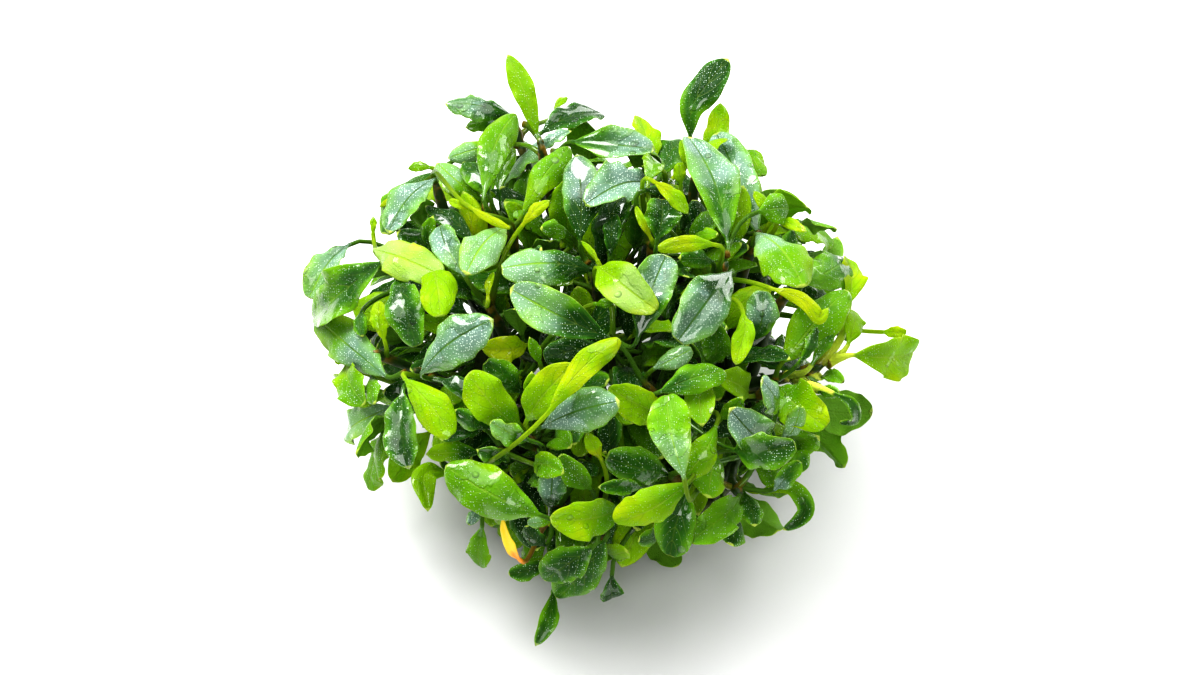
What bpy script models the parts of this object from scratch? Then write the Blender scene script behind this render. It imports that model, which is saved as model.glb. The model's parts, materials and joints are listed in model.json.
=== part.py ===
"""Bucephalandra clump: a dome of oval leaves on short shoots, grown from creeping rhizomes over a root mat.

Lengths are in millimetres until a mesh is made, which MM turns into metres. +Z is up, the clump rests on
z = 0 with its root mat's middle at the origin, and the photograph looks along +Y and down, with +X to its
right.

A leaf that the photograph shows is given by the pixels of its blade, from base to tip, and by its real
width. It lies on a dome as wide, deep and tall as the clump, or a stated lift above that dome, and grows
from the nearest crown.
"""

import itertools
import math
import random
from collections import namedtuple

import bmesh
import bpy
import numpy as np
from mathutils import Vector
from mathutils.bvhtree import BVHTree

MM = 0.001

# The clump's dome
DOME_CENTRE = np.array([0.0, 0.0, 36.0])
DOME_HALF = np.array([57.0, 54.0, 38.0])

# How the photograph looks at it
PHOTO_MIDDLE = np.array([600.0, 337.5])
PHOTO_OF_DOME_CENTRE = np.array([600.0, 350.0])
PHOTO_ELEVATION = math.radians(48)
PHOTO_DISTANCE = 667.0
MM_PER_PIXEL = 0.2

# A leaf
BLADE_THICK = 0.8
BLADE_RATIO = 2.1  # length over width
BLADE_ARCH = 0.08  # rise of the middle over length
BLADE_FOLD = 0.16  # rise of the margins over half the width
OVAL_SHIFT = 1.12  # above 1, the blade is widest past its middle
OVAL_FULLNESS = 0.72  # below 1, the blade is fuller than a sine
BLADE_START = 0.08  # share of a blade that gives the line that its petiole joins
BLADE_FOOT = 0.05  # the same for the ring between the two
NEARBY = 0.02  # share of a blade on either side of a point that gives its direction there
PETIOLE_RADIUS = 0.65
PETIOLE_FADE = 3.0  # one over the share of a blade in which the petiole's thickness is lost
PETIOLE_RINGS = 3
PETIOLE_REACH = 0.4
PETIOLE_TURN_COST = 1.7
BURIAL = (2.0, 7.0, 15.0)  # least, usual and greatest depth of a blade's base under the dome
TOWARDS_EYE = 0.6  # share of a blade's facing that looks at the photograph's eye, the rest looks outwards
LOWEST = 1.2
SMALLEST = 2.2  # narrower young leaves aren't modelled as solids
LEAF_STATIONS = (0.0, 0.16, 0.36, 0.6, 0.84)
FUSED_STATIONS = (0.0, 0.3, 0.72)
NARROW_STATIONS = (0.0, 0.46)
NARROW = 6.0  # a fused leaf under this width has the narrow stations
ROUGH_BLADE = (0.0, 0.15, 0.35, 0.6, 0.85, 1.0)  # stations of the blade that clearance is tested with

# How a leaf gives way to those placed before it
SHIFTS = (0.0, 1.5, -1.5, 3.0, -3.0, 4.5, -4.5, 6.5, -6.5, 9.0, -9.0, 12.0, -12.0, 16.0)
ROLLS = (0.0, 12.0, -12.0, 25.0, -25.0)
BASE_SHIFT_COST = 0.7  # of moving a blade's base by 1 mm, where moving its tip costs 1
DEGREES_PER_COST = 8.0
MOST_TILT = 7.0  # greatest difference between the shifts of a blade's two ends
NEAR_CROWNS = 3
NEAR_STEPS = 3

# A shoot
CROWN_DEPTH = 14.0
STEM_RADIUS = 1.7
STEM_FOOT_RADIUS = 2.1
STEM_RINGS = 4
STEM_SIDES = 4
STEM_REACH = 0.38
STEM_UPRIGHT = 0.35  # how much a stem's end turns up from the dome's outward direction
STEM_SIDE = np.array([0.0, 0.3, 1.0])
FORK_FOOT_RADIUS = 1.1
SHORTEST_STEM = 8.0
CROWN_ROOM = 2.0  # least height of a crown over the lowest place for a stem
FIRST_LEAF = 0.8  # distance from the crown to the highest petiole
LEAF_STEP = 1.5  # distance along the stem from one petiole to the next
LEAF_STEPS = 9
LOWEST_LEAF = 0.9  # share of a stem below its crown that may carry leaves
STEM_NEARBY = 0.03
FORKS = (0.5, 0.35, 0.65, 0.25, 0.8)  # shares of a first stem where another may fork off
FORK_NEARBY = 0.05
FORK_RISE = 0.5
GAP = 0.35  # between touching nodes
CLEARANCE = 0.4  # kept between leaves
ON_AXIS = 0.5  # a leaf nearer than this to its stem's axis leaves it to one side
PARALLEL = 0.05  # greatest sine of the angle between directions that count as parallel

# The rhizomes and the root mat
RHIZOME_RADIUS = 2.4
RHIZOME_TAPER = 0.25
RHIZOME_RINGS = 7
RHIZOME_SIDES = 6
FOOT_CHOICES = 30
FOOT_SPAN = (0.05, 0.95)  # share of a rhizome that stems may start on
ROOT_MAT_RADIUS = 21.0
ROOT_MAT_TALL = 9.0
ROOT_MAT_SIDES = 16
ROOT_MAT_PROFILE = ((0.0, 0.93), (0.12, 1.0), (0.45, 0.9), (0.78, 0.66), (0.95, 0.36))  # height, radius
ROOT_MAT_LUMPS = ((0.09, 3, 1.0, 0.0), (0.06, 5, 0.0, 7.0))  # size, count around, start, turn with height

# Hidden leaves
HIDDEN_CROWNS = 48
HIDDEN_CROWN_REACH = 0.66
HIDDEN_FROM = -0.15  # least share of the dome's outward direction that points away from the photograph's eye
HIDDEN_LOWEST = 9.0
HIDDEN_LEAVES = 5
HIDDEN_START = 0.4  # greatest chance turn of a leaf from its place around the crown
HIDDEN_SPREAD = (0.75, 1.15)
HIDDEN_WIDE = (6.8, 10.0)
HIDDEN_LIFT = (-1.5, 2.0)
HIDDEN_BASE_OUT = 5.5
HIDDEN_BASE_ASIDE = 4.0
HIDDEN_INWARD = 0.25
HIDDEN_ASIDE = 0.95
HIDDEN_LENGTH = 0.95
HIDDEN_RISE_OVER = 60.0
HIDDEN_FACING_UP = np.array([0.0, 0.0, 0.35])
HIDDEN_CUPPED = 0.2
HIDDEN_LEAST_RATIO = 1.7
HIDDEN_LEAN_AXIS = np.array([0.1, 0.2, 1.0])
HIDDEN_TURNS = (0, 12, -12, 25, -25, 40, -40, 60, -60)
HIDDEN_SINKS = (0.0, 2.0, -1.5, 4.0, 7.0)
HIDDEN_LEANS = (0.0, 0.25, -0.25)
GOLDEN_ANGLE = math.pi * (3 - math.sqrt(5))
SEED = 7

UPWARDS = np.array([0.0, 0.0, 1.0])
SHARP_ANGLE = math.radians(60)
ROUGHNESS = 0.45

# Colours, as red, green and blue
LEAF_GREEN = (0.10, 0.28, 0.03)
LIME = (0.36, 0.55, 0.03)
DARK_GREEN = (0.03, 0.11, 0.03)
SILVER_GREEN = (0.22, 0.36, 0.27)
DYING_YELLOW = (0.85, 0.60, 0.05)
RHIZOME_BROWN = (0.25, 0.22, 0.07)
ROOT_BROWN = (0.22, 0.15, 0.08)

Leaf = namedtuple("Leaf", "route wide lift name colour")
Placed = namedtuple("Placed", "leaf points facing crown step half_width")
Crown = namedtuple("Crown", "shoot key point stem")


def leaf(*route, wide, lift=0.0, name=None, colour=LEAF_GREEN):
    """A leaf by its blade's pixels from base to tip, its width and its lift over the dome.

    A named one is a node of its own."""
    return Leaf([np.array(pixel, float) for pixel in route], wide, lift, name, colour)


# Leaves of the first layer come first, so that those behind give way to them.
LEAVES = [
    leaf((538, 137), (508, 55), wide=5.0, lift=2, name="leaf_tall_lime", colour=LIME),
    leaf((511, 116), (446, 103), wide=6.4, name="leaf_wavy_dark", colour=DARK_GREEN),
    leaf((541, 133), (603, 114), wide=7.6, colour=DARK_GREEN),
    leaf((572, 142), (654, 150), wide=7.8, lift=1, name="leaf_top_pale", colour=SILVER_GREEN),
    leaf((484, 197), (517, 112), wide=7.4, lift=3, name="leaf_upright_bright", colour=LIME),
    leaf((522, 216), (571, 140), wide=6.4, lift=2, colour=LIME),
    leaf((580, 240), (577, 155), wide=8.6, lift=3, name="leaf_standing_pale", colour=SILVER_GREEN),
    leaf((652, 186), (588, 190), wide=9.6, lift=3, name="leaf_silver_top", colour=SILVER_GREEN),
    leaf((690, 139), (694, 105), (708, 85), (728, 58), wide=7.4, lift=2,
         name="leaf_tall_dark", colour=DARK_GREEN),
    leaf((727, 240), (688, 137), wide=10.6, lift=4, name="leaf_frosted_large"),
    leaf((758, 235), (716, 133), wide=8.6, lift=-1, colour=SILVER_GREEN),
    leaf((757, 234), (804, 284), wide=11.2, lift=3, name="leaf_square_pale"),
    leaf((803, 284), (855, 249), wide=9.6, lift=2, name="leaf_wet_patched", colour=DARK_GREEN),
    leaf((783, 362), (849, 284), wide=9.4, lift=3, name="leaf_speckled_right"),
    leaf((853, 355), (914, 352), wide=9.6, lift=2, name="leaf_outer_right", colour=LIME),
    leaf((731, 272), (684, 340), wide=10.0, lift=4, name="leaf_silver_front", colour=SILVER_GREEN),
    leaf((598, 268), (649, 309), wide=8.6, lift=4, name="leaf_lime_centre", colour=LIME),
    leaf((592, 270), (502, 259), wide=9.2, lift=3, colour=DARK_GREEN),
    leaf((608, 338), (510, 289), wide=9.0, lift=4, name="leaf_two_tone", colour=SILVER_GREEN),
    leaf((375, 250), (434, 264), wide=8.6, lift=3, name="leaf_palest_lime", colour=LIME),
    leaf((382, 262), (312, 318), wide=11.0, lift=2, name="leaf_wet_outer", colour=DARK_GREEN),
    leaf((386, 376), (313, 316), wide=9.2, lift=2, name="leaf_split_tone"),
    leaf((422, 373), (491, 319), wide=9.8, lift=3, name="leaf_slate", colour=SILVER_GREEN),
    leaf((405, 379), (452, 434), wide=7.6, lift=3, colour=LIME),
    leaf((521, 428), (471, 373), wide=8.8, lift=3, name="leaf_bright_left", colour=LIME),
    leaf((540, 515), (443, 464), wide=10.2, lift=4, name="leaf_long_front"),
    leaf((688, 483), (615, 531), wide=8.2, lift=4, name="leaf_lime_lower", colour=LIME),
    leaf((684, 478), (666, 388), wide=8.6, lift=3, name="leaf_drooping_pale", colour=SILVER_GREEN),
    leaf((434, 180), (388, 232), wide=9.0, lift=1),
    leaf((404, 196), (380, 206), wide=1.8, lift=2),
    leaf((482, 200), (437, 163), wide=7.2),
    leaf((506, 228), (466, 273), wide=8.4, lift=2),
    leaf((465, 276), (438, 222), wide=6.2),
    leaf((431, 266), (441, 311), wide=7.8, lift=2),
    leaf((400, 276), (410, 343), wide=8.0, lift=-1),
    leaf((349, 245), (304, 294), wide=7.2),
    leaf((403, 391), (408, 468), wide=7.8, lift=1),
    leaf((527, 420), (572, 365), wide=7.8, lift=3),
    leaf((548, 413), (623, 335), wide=5.4, lift=4),
    leaf((543, 427), (618, 401), wide=8.8, lift=2),
    leaf((638, 338), (668, 252), wide=8.8, lift=1),
    leaf((716, 245), (659, 250), wide=3.6, lift=4),
    leaf((770, 288), (805, 305), (820, 319), (828, 308), wide=3.4, lift=3),
    leaf((778, 388), (824, 426), wide=9.2, lift=3),
    leaf((770, 446), (731, 410), wide=8.4, lift=2),
    leaf((658, 414), (612, 393), wide=7.4, lift=1),
    leaf((660, 392), (727, 367), wide=6.6),
    leaf((617, 509), (553, 521), wide=8.4, lift=3),
    leaf((605, 540), (557, 598), wide=9.6, lift=1),
    leaf((687, 490), (669, 560), wide=8.4),
    leaf((716, 455), (708, 496), wide=7.2, lift=1),
    leaf((735, 450), (793, 452), wide=8.0),
    leaf((502, 145), (447, 158), wide=4.8, lift=-2),
    leaf((508, 121), (466, 126), wide=4.4, lift=-4),
    leaf((555, 112), (563, 96), wide=3.0, lift=-4),
    leaf((541, 150), (570, 130), wide=3.6, lift=-3),
    leaf((489, 195), (463, 160), wide=6.0, lift=-4),
    leaf((470, 209), (448, 199), wide=2.0),
    leaf((470, 207), (508, 226), wide=1.8, lift=1),
    leaf((570, 236), (542, 228), wide=4.0, lift=-4),
    leaf((522, 226), (549, 200), wide=2.8, lift=-2),
    leaf((598, 262), (582, 241), wide=1.4, lift=-1),
    leaf((610, 255), (610, 211), wide=4.0, lift=-5),
    leaf((595, 304), (613, 304), wide=2.0, lift=-5),
    leaf((634, 246), (634, 206), wide=5.0, lift=-9),
    leaf((645, 190), (668, 192), wide=2.6, lift=-4),
    leaf((648, 182), (656, 155), wide=5.0, lift=-1),
    leaf((658, 168), (643, 166), wide=1.6),
    leaf((681, 186), (680, 162), wide=2.8, lift=-3),
    leaf((653, 181), (688, 213), wide=3.6),
    leaf((652, 240), (634, 205), wide=1.8, lift=-3),
    leaf((657, 240), (662, 197), wide=7.6, lift=-5),
    leaf((683, 228), (680, 205), wide=4.0, lift=-7),
    leaf((706, 160), (720, 102), wide=5.4, lift=-2),
    leaf((693, 176), (681, 139), wide=2.4, lift=-3),
    leaf((734, 150), (767, 165), wide=6.0, lift=-3),
    leaf((693, 240), (716, 232), wide=3.6, lift=-1),
    leaf((712, 262), (680, 258), wide=4.4, lift=-4),
    leaf((758, 212), (791, 208), wide=7.2, lift=-2),
    leaf((776, 218), (756, 190), wide=3.4, lift=-1),
    leaf((775, 220), (806, 231), wide=2.6, lift=-1),
    leaf((850, 303), (848, 257), wide=6.4, lift=-4),
    leaf((752, 340), (765, 294), wide=7.2, lift=-1),
    leaf((743, 312), (746, 335), (735, 363), wide=4.4, lift=1),
    leaf((712, 362), (714, 322), wide=6.0, lift=-2),
    leaf((848, 345), (862, 305), wide=5.6, lift=-3),
    leaf((882, 332), (907, 333), wide=2.6),
    leaf((822, 378), (840, 378), wide=3.2, lift=-2),
    leaf((820, 392), (838, 392), wide=3.0, lift=-1),
    leaf((833, 393), (850, 403), (855, 423), (842, 434), wide=3.0),
    leaf((800, 362), (822, 328), wide=3.4, lift=-3),
    leaf((812, 365), (836, 328), wide=3.0, lift=-4),
    leaf((777, 412), (765, 380), wide=7.2, lift=-2),
    leaf((722, 418), (742, 398), wide=4.0, lift=-1),
    leaf((783, 436), (800, 414), wide=4.0, lift=-1),
    leaf((788, 440), (818, 437), wide=7.2, lift=-2),
    leaf((790, 450), (808, 468), wide=5.0, lift=-3),
    leaf((775, 489), (800, 465), wide=4.4, lift=-3),
    leaf((738, 498), (697, 535), wide=7.4, lift=-1),
    leaf((745, 495), (755, 525), wide=5.4, lift=-3),
    leaf((730, 512), (733, 542), wide=6.4, lift=-4),
    leaf((757, 492), (790, 493), (801, 510), (784, 532), wide=3.8, lift=-2),
    leaf((716, 426), (683, 478), wide=6.0),
    leaf((668, 474), (613, 465), wide=7.8, lift=-3),
    leaf((660, 528), (640, 541), wide=4.4, lift=-6),
    leaf((655, 368), (690, 347), wide=4.4, lift=-2),
    leaf((701, 376), (702, 425), wide=6.4, lift=-1),
    leaf((600, 345), (545, 358), wide=6.0, lift=-3),
    leaf((527, 345), (482, 348), wide=5.6, lift=-8),
    leaf((540, 363), (530, 338), wide=2.6, lift=-6),
    leaf((470, 296), (443, 282), wide=5.4, lift=-6),
    leaf((430, 248), (432, 217), wide=3.4, lift=-3),
    leaf((488, 300), (492, 270), wide=1.6, lift=-2),
    leaf((455, 330), (423, 318), wide=4.6, lift=-5),
    leaf((432, 168), (408, 168), wide=2.4, lift=-2),
    leaf((432, 174), (378, 228), wide=9.0, lift=-3),
    leaf((373, 234), (373, 217), wide=1.6, lift=-2),
    leaf((347, 364), (360, 403), wide=7.6, lift=-5),
    leaf((372, 376), (374, 403), wide=4.4, lift=-6),
    leaf((346, 364), (335, 351), wide=2.4, lift=-5),
    leaf((362, 312), (362, 334), wide=3.2, lift=-6),
    leaf((385, 342), (376, 300), wide=4.0, lift=-4),
    leaf((520, 392), (488, 368), wide=5.6, lift=-3),
    leaf((529, 399), (532, 373), wide=3.0, lift=-1),
    leaf((528, 440), (489, 424), wide=5.4, lift=-2),
    leaf((535, 465), (561, 471), wide=5.4, lift=-1),
    leaf((505, 460), (478, 450), wide=4.0, lift=-4),
    leaf((440, 380), (480, 393), wide=4.0, lift=-3),
    leaf((490, 428), (455, 411), wide=4.0, lift=-3),
    leaf((590, 488), (560, 460), wide=5.2, lift=-2),
    leaf((550, 508), (552, 476), wide=5.8, lift=-3),
    leaf((552, 520), (527, 524), wide=2.6, lift=-1),
    leaf((545, 545), (527, 530), wide=4.0, lift=-3),
    leaf((520, 560), (500, 522), wide=2.4, name="leaf_dying", colour=DYING_YELLOW),
    leaf((482, 526), (477, 570), wide=5.4, lift=-1),
    leaf((478, 508), (471, 523), wide=2.6, lift=-3),
    leaf((548, 560), (508, 575), wide=4.0, lift=-2),
    leaf((480, 453), (427, 455), wide=4.8, lift=-6),
    leaf((452, 476), (425, 480), (428, 510), wide=5.0, lift=-5),
    leaf((640, 487), (600, 489), wide=3.6, lift=-3),
    leaf((592, 548), (545, 580), wide=8.8, lift=-2),
    leaf((605, 545), (626, 552), wide=5.6, lift=-3),
    leaf((612, 575), (616, 605), wide=5.0, lift=-3),
    leaf((553, 592), (536, 645), wide=4.0),
    leaf((601, 459), (587, 434), wide=3.2, lift=-4),
    leaf((610, 455), (608, 412), wide=4.8, lift=-6),
]

# Each shoot's crowns, by pixel. The second and third crown of a shoot fork off its first stem.
SHOOTS = {
    "shoot_top": [(540, 140), (514, 122)],
    "shoot_tall": [(700, 148)],
    "shoot_top_right": [(665, 188), (652, 244)],
    "shoot_upper_left": [(484, 202), (512, 226)],
    "shoot_left_shoulder": [(434, 178)],
    "shoot_left": [(385, 260)],
    "shoot_lower_left": [(415, 370), (372, 352)],
    "shoot_centre_left": [(487, 302), (540, 352)],
    "shoot_centre": [(596, 268), (612, 340)],
    "shoot_brown_crown": [(727, 262)],
    "shoot_right_shoulder": [(760, 230)],
    "shoot_right": [(792, 288), (748, 332)],
    "shoot_pale_petioles": [(822, 366)],
    "shoot_right_low": [(777, 392)],
    "shoot_lower_right": [(762, 450), (740, 494)],
    "shoot_front_right": [(690, 484)],
    "shoot_middle_right": [(664, 400)],
    "shoot_front_middle": [(530, 430), (498, 450)],
    "shoot_front_left": [(456, 480)],
    "shoot_front": [(550, 520)],
    "shoot_front_low": [(602, 540)],
}
SHALLOW_CROWNS = {
    "shoot_brown_crown": 8.0,
    "shoot_left": 9.0,
    "shoot_pale_petioles": 9.0,
    "shoot_lower_left": 10.0,
}

# The rhizomes' routes through the clump's core
RHIZOMES = {
    "rhizome_across": [(-33, 6, 20), (-14, -2, 25), (8, -3, 26), (33, 4, 21)],
    "rhizome_front": [(-14, -31, 15), (-3, -20, 17), (4, -9, 16), (2, 10, 15), (-6, 32, 18)],
    "rhizome_right": [(20, -24, 15), (27, -10, 13), (27, 8, 13), (13, 28, 16)],
    "rhizome_left": [(-25, -14, 14), (-29, 0, 13), (-26, 14, 13), (-18, 30, 16)],
}


def unit(vector):
    return vector / np.linalg.norm(vector)


def view_axes():
    """The photograph's right, up and forward directions."""
    lean = PHOTO_ELEVATION
    right = np.array([1.0, 0.0, 0.0])
    up = np.array([0.0, math.sin(lean), math.cos(lean)])
    forward = np.array([0.0, math.cos(lean), -math.sin(lean)])
    return right, up, forward


RIGHT, UP, FORWARD = view_axes()
AIM = DOME_CENTRE + UP * (PHOTO_OF_DOME_CENTRE - PHOTO_MIDDLE)[1] * MM_PER_PIXEL
EYE = AIM - FORWARD * PHOTO_DISTANCE


def sight_line(pixel):
    """Direction from the eye through a pixel, one millimetre long along the view's axis."""
    across, down = (pixel - PHOTO_MIDDLE) * MM_PER_PIXEL / PHOTO_DISTANCE
    return FORWARD + RIGHT * across - UP * down


def dome_depth(pixel):
    """How far along its sight line a pixel meets the dome, or passes nearest to it."""
    start = (EYE - DOME_CENTRE) / DOME_HALF
    way = sight_line(pixel) / DOME_HALF
    nearest = -start @ way / (way @ way)
    spare = nearest**2 - (start @ start - 1) / (way @ way)
    return nearest - math.sqrt(max(spare, 0.0))


def at_depth(pixel, depth):
    """The point at that depth on the pixel's sight line, or nearer where that is under the ground."""
    way = sight_line(pixel)
    point = EYE + way * depth
    short = LOWEST - point[2]
    return point + way * (short / way[2]) if short > 0 else point


def along(points, share):
    """Points at the given shares of a smooth curve's length (cubic Hermite spans through the points)."""
    points = np.asarray(points, float)
    share = np.asarray(share, float)
    steps = np.linalg.norm(np.diff(points, axis=0), axis=1)
    knots = np.concatenate([[0.0], np.cumsum(steps)]) / steps.sum()
    slopes = np.gradient(points, knots, axis=0)
    span = np.clip(np.searchsorted(knots, share, side="right") - 1, 0, len(points) - 2)
    width = (knots[span + 1] - knots[span])[:, None]
    t = (share - knots[span])[:, None] / width
    return (
        (2 * t**3 - 3 * t**2 + 1) * points[span]
        + (t**3 - 2 * t**2 + t) * width * slopes[span]
        + (3 * t**2 - 2 * t**3) * points[span + 1]
        + (t**3 - t**2) * width * slopes[span + 1]
    )


def outward(point):
    """The dome's outward direction at a point."""
    return unit((point - DOME_CENTRE) / DOME_HALF**2)


def facing_of(points, share_to_eye, roll):
    """The way that a blade's upper face looks, square to its chord and rolled about it by some degrees."""
    chord = unit(points[-1] - points[0])
    middle = points[len(points) // 2]
    facing = unit(EYE - middle) * share_to_eye + outward(middle) * (1 - share_to_eye)
    facing = unit(facing - chord * (facing @ chord))
    angle = math.radians(roll)
    return facing * math.cos(angle) + np.cross(chord, facing) * math.sin(angle)


def seen_blade(one, tip_nearer, base_nearer, roll):
    """A photographed blade's points, facing and half width.

    The tip lies on the dome or its lift above it. The base is as deep as gives the blade its usual length
    for its width, within the limits of BURIAL."""
    base, tip = one.route[0], one.route[-1]
    tip_depth = dome_depth(tip) - one.lift
    seen = np.linalg.norm(tip - base) * MM_PER_PIXEL
    rise = math.sqrt(max((BLADE_RATIO * one.wide) ** 2 - seen**2, 0.0))
    least, usual, most = (dome_depth(base) - one.lift + burial for burial in BURIAL)
    base_depth = min((tip_depth + rise, tip_depth - rise), key=lambda depth: abs(depth - usual))
    base_depth = min(max(base_depth, least), most)
    points = []
    for pixel in one.route:
        share = min(np.linalg.norm(pixel - base) / np.linalg.norm(tip - base), 1.0)
        depth = base_depth - base_nearer + share * (tip_depth - tip_nearer - base_depth + base_nearer)
        points.append(at_depth(pixel, depth))
    points = np.array(points)
    return points, facing_of(points, TOWARDS_EYE, roll), one.wide / 2


def blade_frame(points, facing, share):
    """Centre points, side directions and face directions at the given shares of a blade's length."""
    length = np.linalg.norm(np.diff(points, axis=0), axis=1).sum()
    bow = (4 * BLADE_ARCH * length * share * (1 - share))[:, None] * facing
    centre = along(points, share) + bow
    ahead = along(points, np.minimum(share + NEARBY, 1.0)) - along(points, np.maximum(share - NEARBY, 0.0))
    ahead += (4 * BLADE_ARCH * length * (1 - 2 * share) * 2 * NEARBY)[:, None] * facing
    ahead /= np.linalg.norm(ahead, axis=1)[:, None]
    side = np.cross(ahead, facing)
    side /= np.linalg.norm(side, axis=1)[:, None]
    return centre, side, np.cross(side, ahead)


def blade_width(share):
    """A blade's width over its greatest: an oval a little wider past its middle, drawn out to the tip."""
    return np.sin(math.pi * share**OVAL_SHIFT) ** OVAL_FULLNESS


def blade_rings(points, facing, half_width, stations, spare=0.0):
    """Rings of four points around a blade: left margin, lower face, right margin and upper face."""
    share = np.asarray(stations, float)
    centre, side, face = blade_frame(points, facing, share)
    half = np.maximum(half_width * blade_width(share), PETIOLE_RADIUS * (1 - share))[:, None] + spare
    thick = np.maximum(BLADE_THICK / 2, PETIOLE_RADIUS * (1 - PETIOLE_FADE * share))[:, None] + spare
    raised = centre + face * half * BLADE_FOLD
    left, right = raised - side * half, raised + side * half
    return np.stack([left, centre - face * thick, right, centre + face * thick], axis=1)


def tube_rings(points, radii, sides, across):
    """Rings around a path, each square to it and turned as little as can be from the ring before."""
    ways = np.gradient(np.asarray(points, float), axis=0)
    turn = np.arange(sides) * 2 * math.pi / sides
    rings = []
    for point, way, radius in zip(points, ways, radii):
        way = unit(way)
        side = np.cross(way, across)
        if np.linalg.norm(side) < PARALLEL:
            side = np.cross(way, RIGHT)
        side = unit(side)
        across = np.cross(side, way)
        ring = np.cos(turn)[:, None] * side + np.sin(turn)[:, None] * across
        rings.append(point + radius * ring)
    return np.array(rings)


def petiole_path(placed, fused):
    """A petiole's path from its stem to its blade.

    It is straight where it is fused. Otherwise it is one cubic, which leaves square to the stem and ends in
    the blade's line."""
    start, first_way = petiole_start(placed, fused)
    end = placed.points[0]
    if fused:
        return np.array([start, end])
    centre, _, _ = blade_frame(placed.points, placed.facing, np.array([0.0, BLADE_START]))
    reach = np.linalg.norm(end - start) * PETIOLE_REACH
    first = start + first_way * reach
    last = end - unit(centre[1] - centre[0]) * reach
    t = np.linspace(0.0, 1.0, PETIOLE_RINGS + 1)[:, None]
    return (1 - t) ** 3 * start + 3 * (1 - t) ** 2 * t * first + 3 * (1 - t) * t**2 * last + t**3 * end


def leaf_rings(placed, stations, corners, fused):
    """The rings of a leaf from its petiole's foot to its blade's last station before the tip, and the tip.

    The blade's first ring stands halfway between the blade's line and the petiole's, so that neither is
    pinched. The petiole's faces are carried down from it without a twist."""
    path = petiole_path(placed, fused)
    blade = blade_rings(placed.points, placed.facing, placed.half_width, stations)
    centre, _, _ = blade_frame(placed.points, placed.facing, np.array([0.0, BLADE_FOOT]))
    ways = [unit(way) for way in np.diff(path, axis=0)]
    ways.append(unit(centre[1] - centre[0]))
    face = placed.facing
    rings = []
    for number in range(len(path) - 1, -1, -1):
        ahead = ways[0] if number == 0 else unit(ways[number - 1] + ways[number])
        face = unit(face - ahead * (face @ ahead))
        side = np.cross(ahead, face)
        rings.append([path[number] + PETIOLE_RADIUS * way for way in (-side, -face, side, face)])
    rings = np.concatenate([np.array(rings)[::-1], blade[1:]])
    return rings[:, corners], placed.points[-1]


def petiole_start(placed, fused):
    """Where a petiole leaves its stem, and its first direction, square to the stem.

    A fused one starts on the stem's axis."""
    crown = placed.crown
    foot, way = stem_point(crown, placed.step)
    out = placed.points[0] - foot
    out = out - way * (out @ way)
    if np.linalg.norm(out) < ON_AXIS:
        out = np.cross(way, RIGHT)
    out = unit(out)
    if fused:
        return foot, out
    return foot + out * (STEM_RADIUS + 2 * GAP), out


def stem_point(crown, step):
    """The point on a crown's stem that a leaf grows from, and the stem's direction there."""
    from_tip = FIRST_LEAF + LEAF_STEP * step
    stem = crown.stem
    length = np.linalg.norm(np.diff(stem, axis=0), axis=1).sum()
    share = 1 - min(from_tip / length, LOWEST_LEAF)
    here, ahead = along(stem, np.array([share, min(share + STEM_NEARBY, 1.0)]))
    return here, unit(ahead - here)


def ring_faces(rings, tip=None):
    """Vertices and triangles of the closed skin over a stack of rings, ended by a cap or a tip."""
    count, around = rings.shape[:2]
    vertices = [*rings.reshape(-1, 3)]
    faces = []
    for ring, corner in itertools.product(range(count - 1), range(around)):
        a = ring * around + corner
        b = ring * around + (corner + 1) % around
        faces += [(a, b, b + around), (a, b + around, a + around)]
    faces += [(0, corner + 1, corner) for corner in range(1, around - 1)]
    last = (count - 1) * around
    if tip is None:
        faces += [(last, last + corner, last + corner + 1) for corner in range(1, around - 1)]
    else:
        faces += [(last + corner, last + (corner + 1) % around, len(vertices)) for corner in range(around)]
        vertices.append(tip)
    return vertices, faces


class Room:
    """The solids placed so far, asked whether a new one would be clear of them."""

    def __init__(self):
        self.solids = []

    @staticmethod
    def solid(rings, tip=None):
        vertices, faces = ring_faces(rings, tip)
        points = np.array(vertices)
        tree = BVHTree.FromPolygons([Vector(v) for v in vertices], faces, all_triangles=True)
        return tree, points.min(axis=0), points.max(axis=0)

    def add(self, kind, owner, rings, tip=None):
        self.solids.append((kind, owner, *self.solid(rings, tip)))

    def clear(self, rings, tip=None, passed=()):
        """Whether nothing is met, not counting (kind, owner) pairs in passed."""
        tree, low, high = self.solid(rings, tip)
        for kind, owner, other, other_low, other_high in self.solids:
            if (low > other_high).any() or (high < other_low).any() or (kind, owner) in passed:
                continue
            if tree.overlap(other):
                return False
        return True


def seen_choices(one):
    """Ways to lay a photographed leaf that look alike to the photograph's eye, the smallest change first."""
    choices = [
        (abs(tip) + BASE_SHIFT_COST * abs(base) + abs(roll) / DEGREES_PER_COST, -tip, -base, roll)
        for tip, base, roll in itertools.product(SHIFTS, SHIFTS, ROLLS)
        if abs(tip - base) <= MOST_TILT
    ]
    for _, tip, base, roll in sorted(choices):
        yield seen_blade(one, tip, base, roll)


def petiole_cost(crown_point, points):
    """How far a petiole would run from a crown to a blade, and more where it would have to turn back."""
    run = points[0] - crown_point
    return PETIOLE_TURN_COST * np.linalg.norm(run) - run @ unit(points[-1] - points[0])


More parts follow.
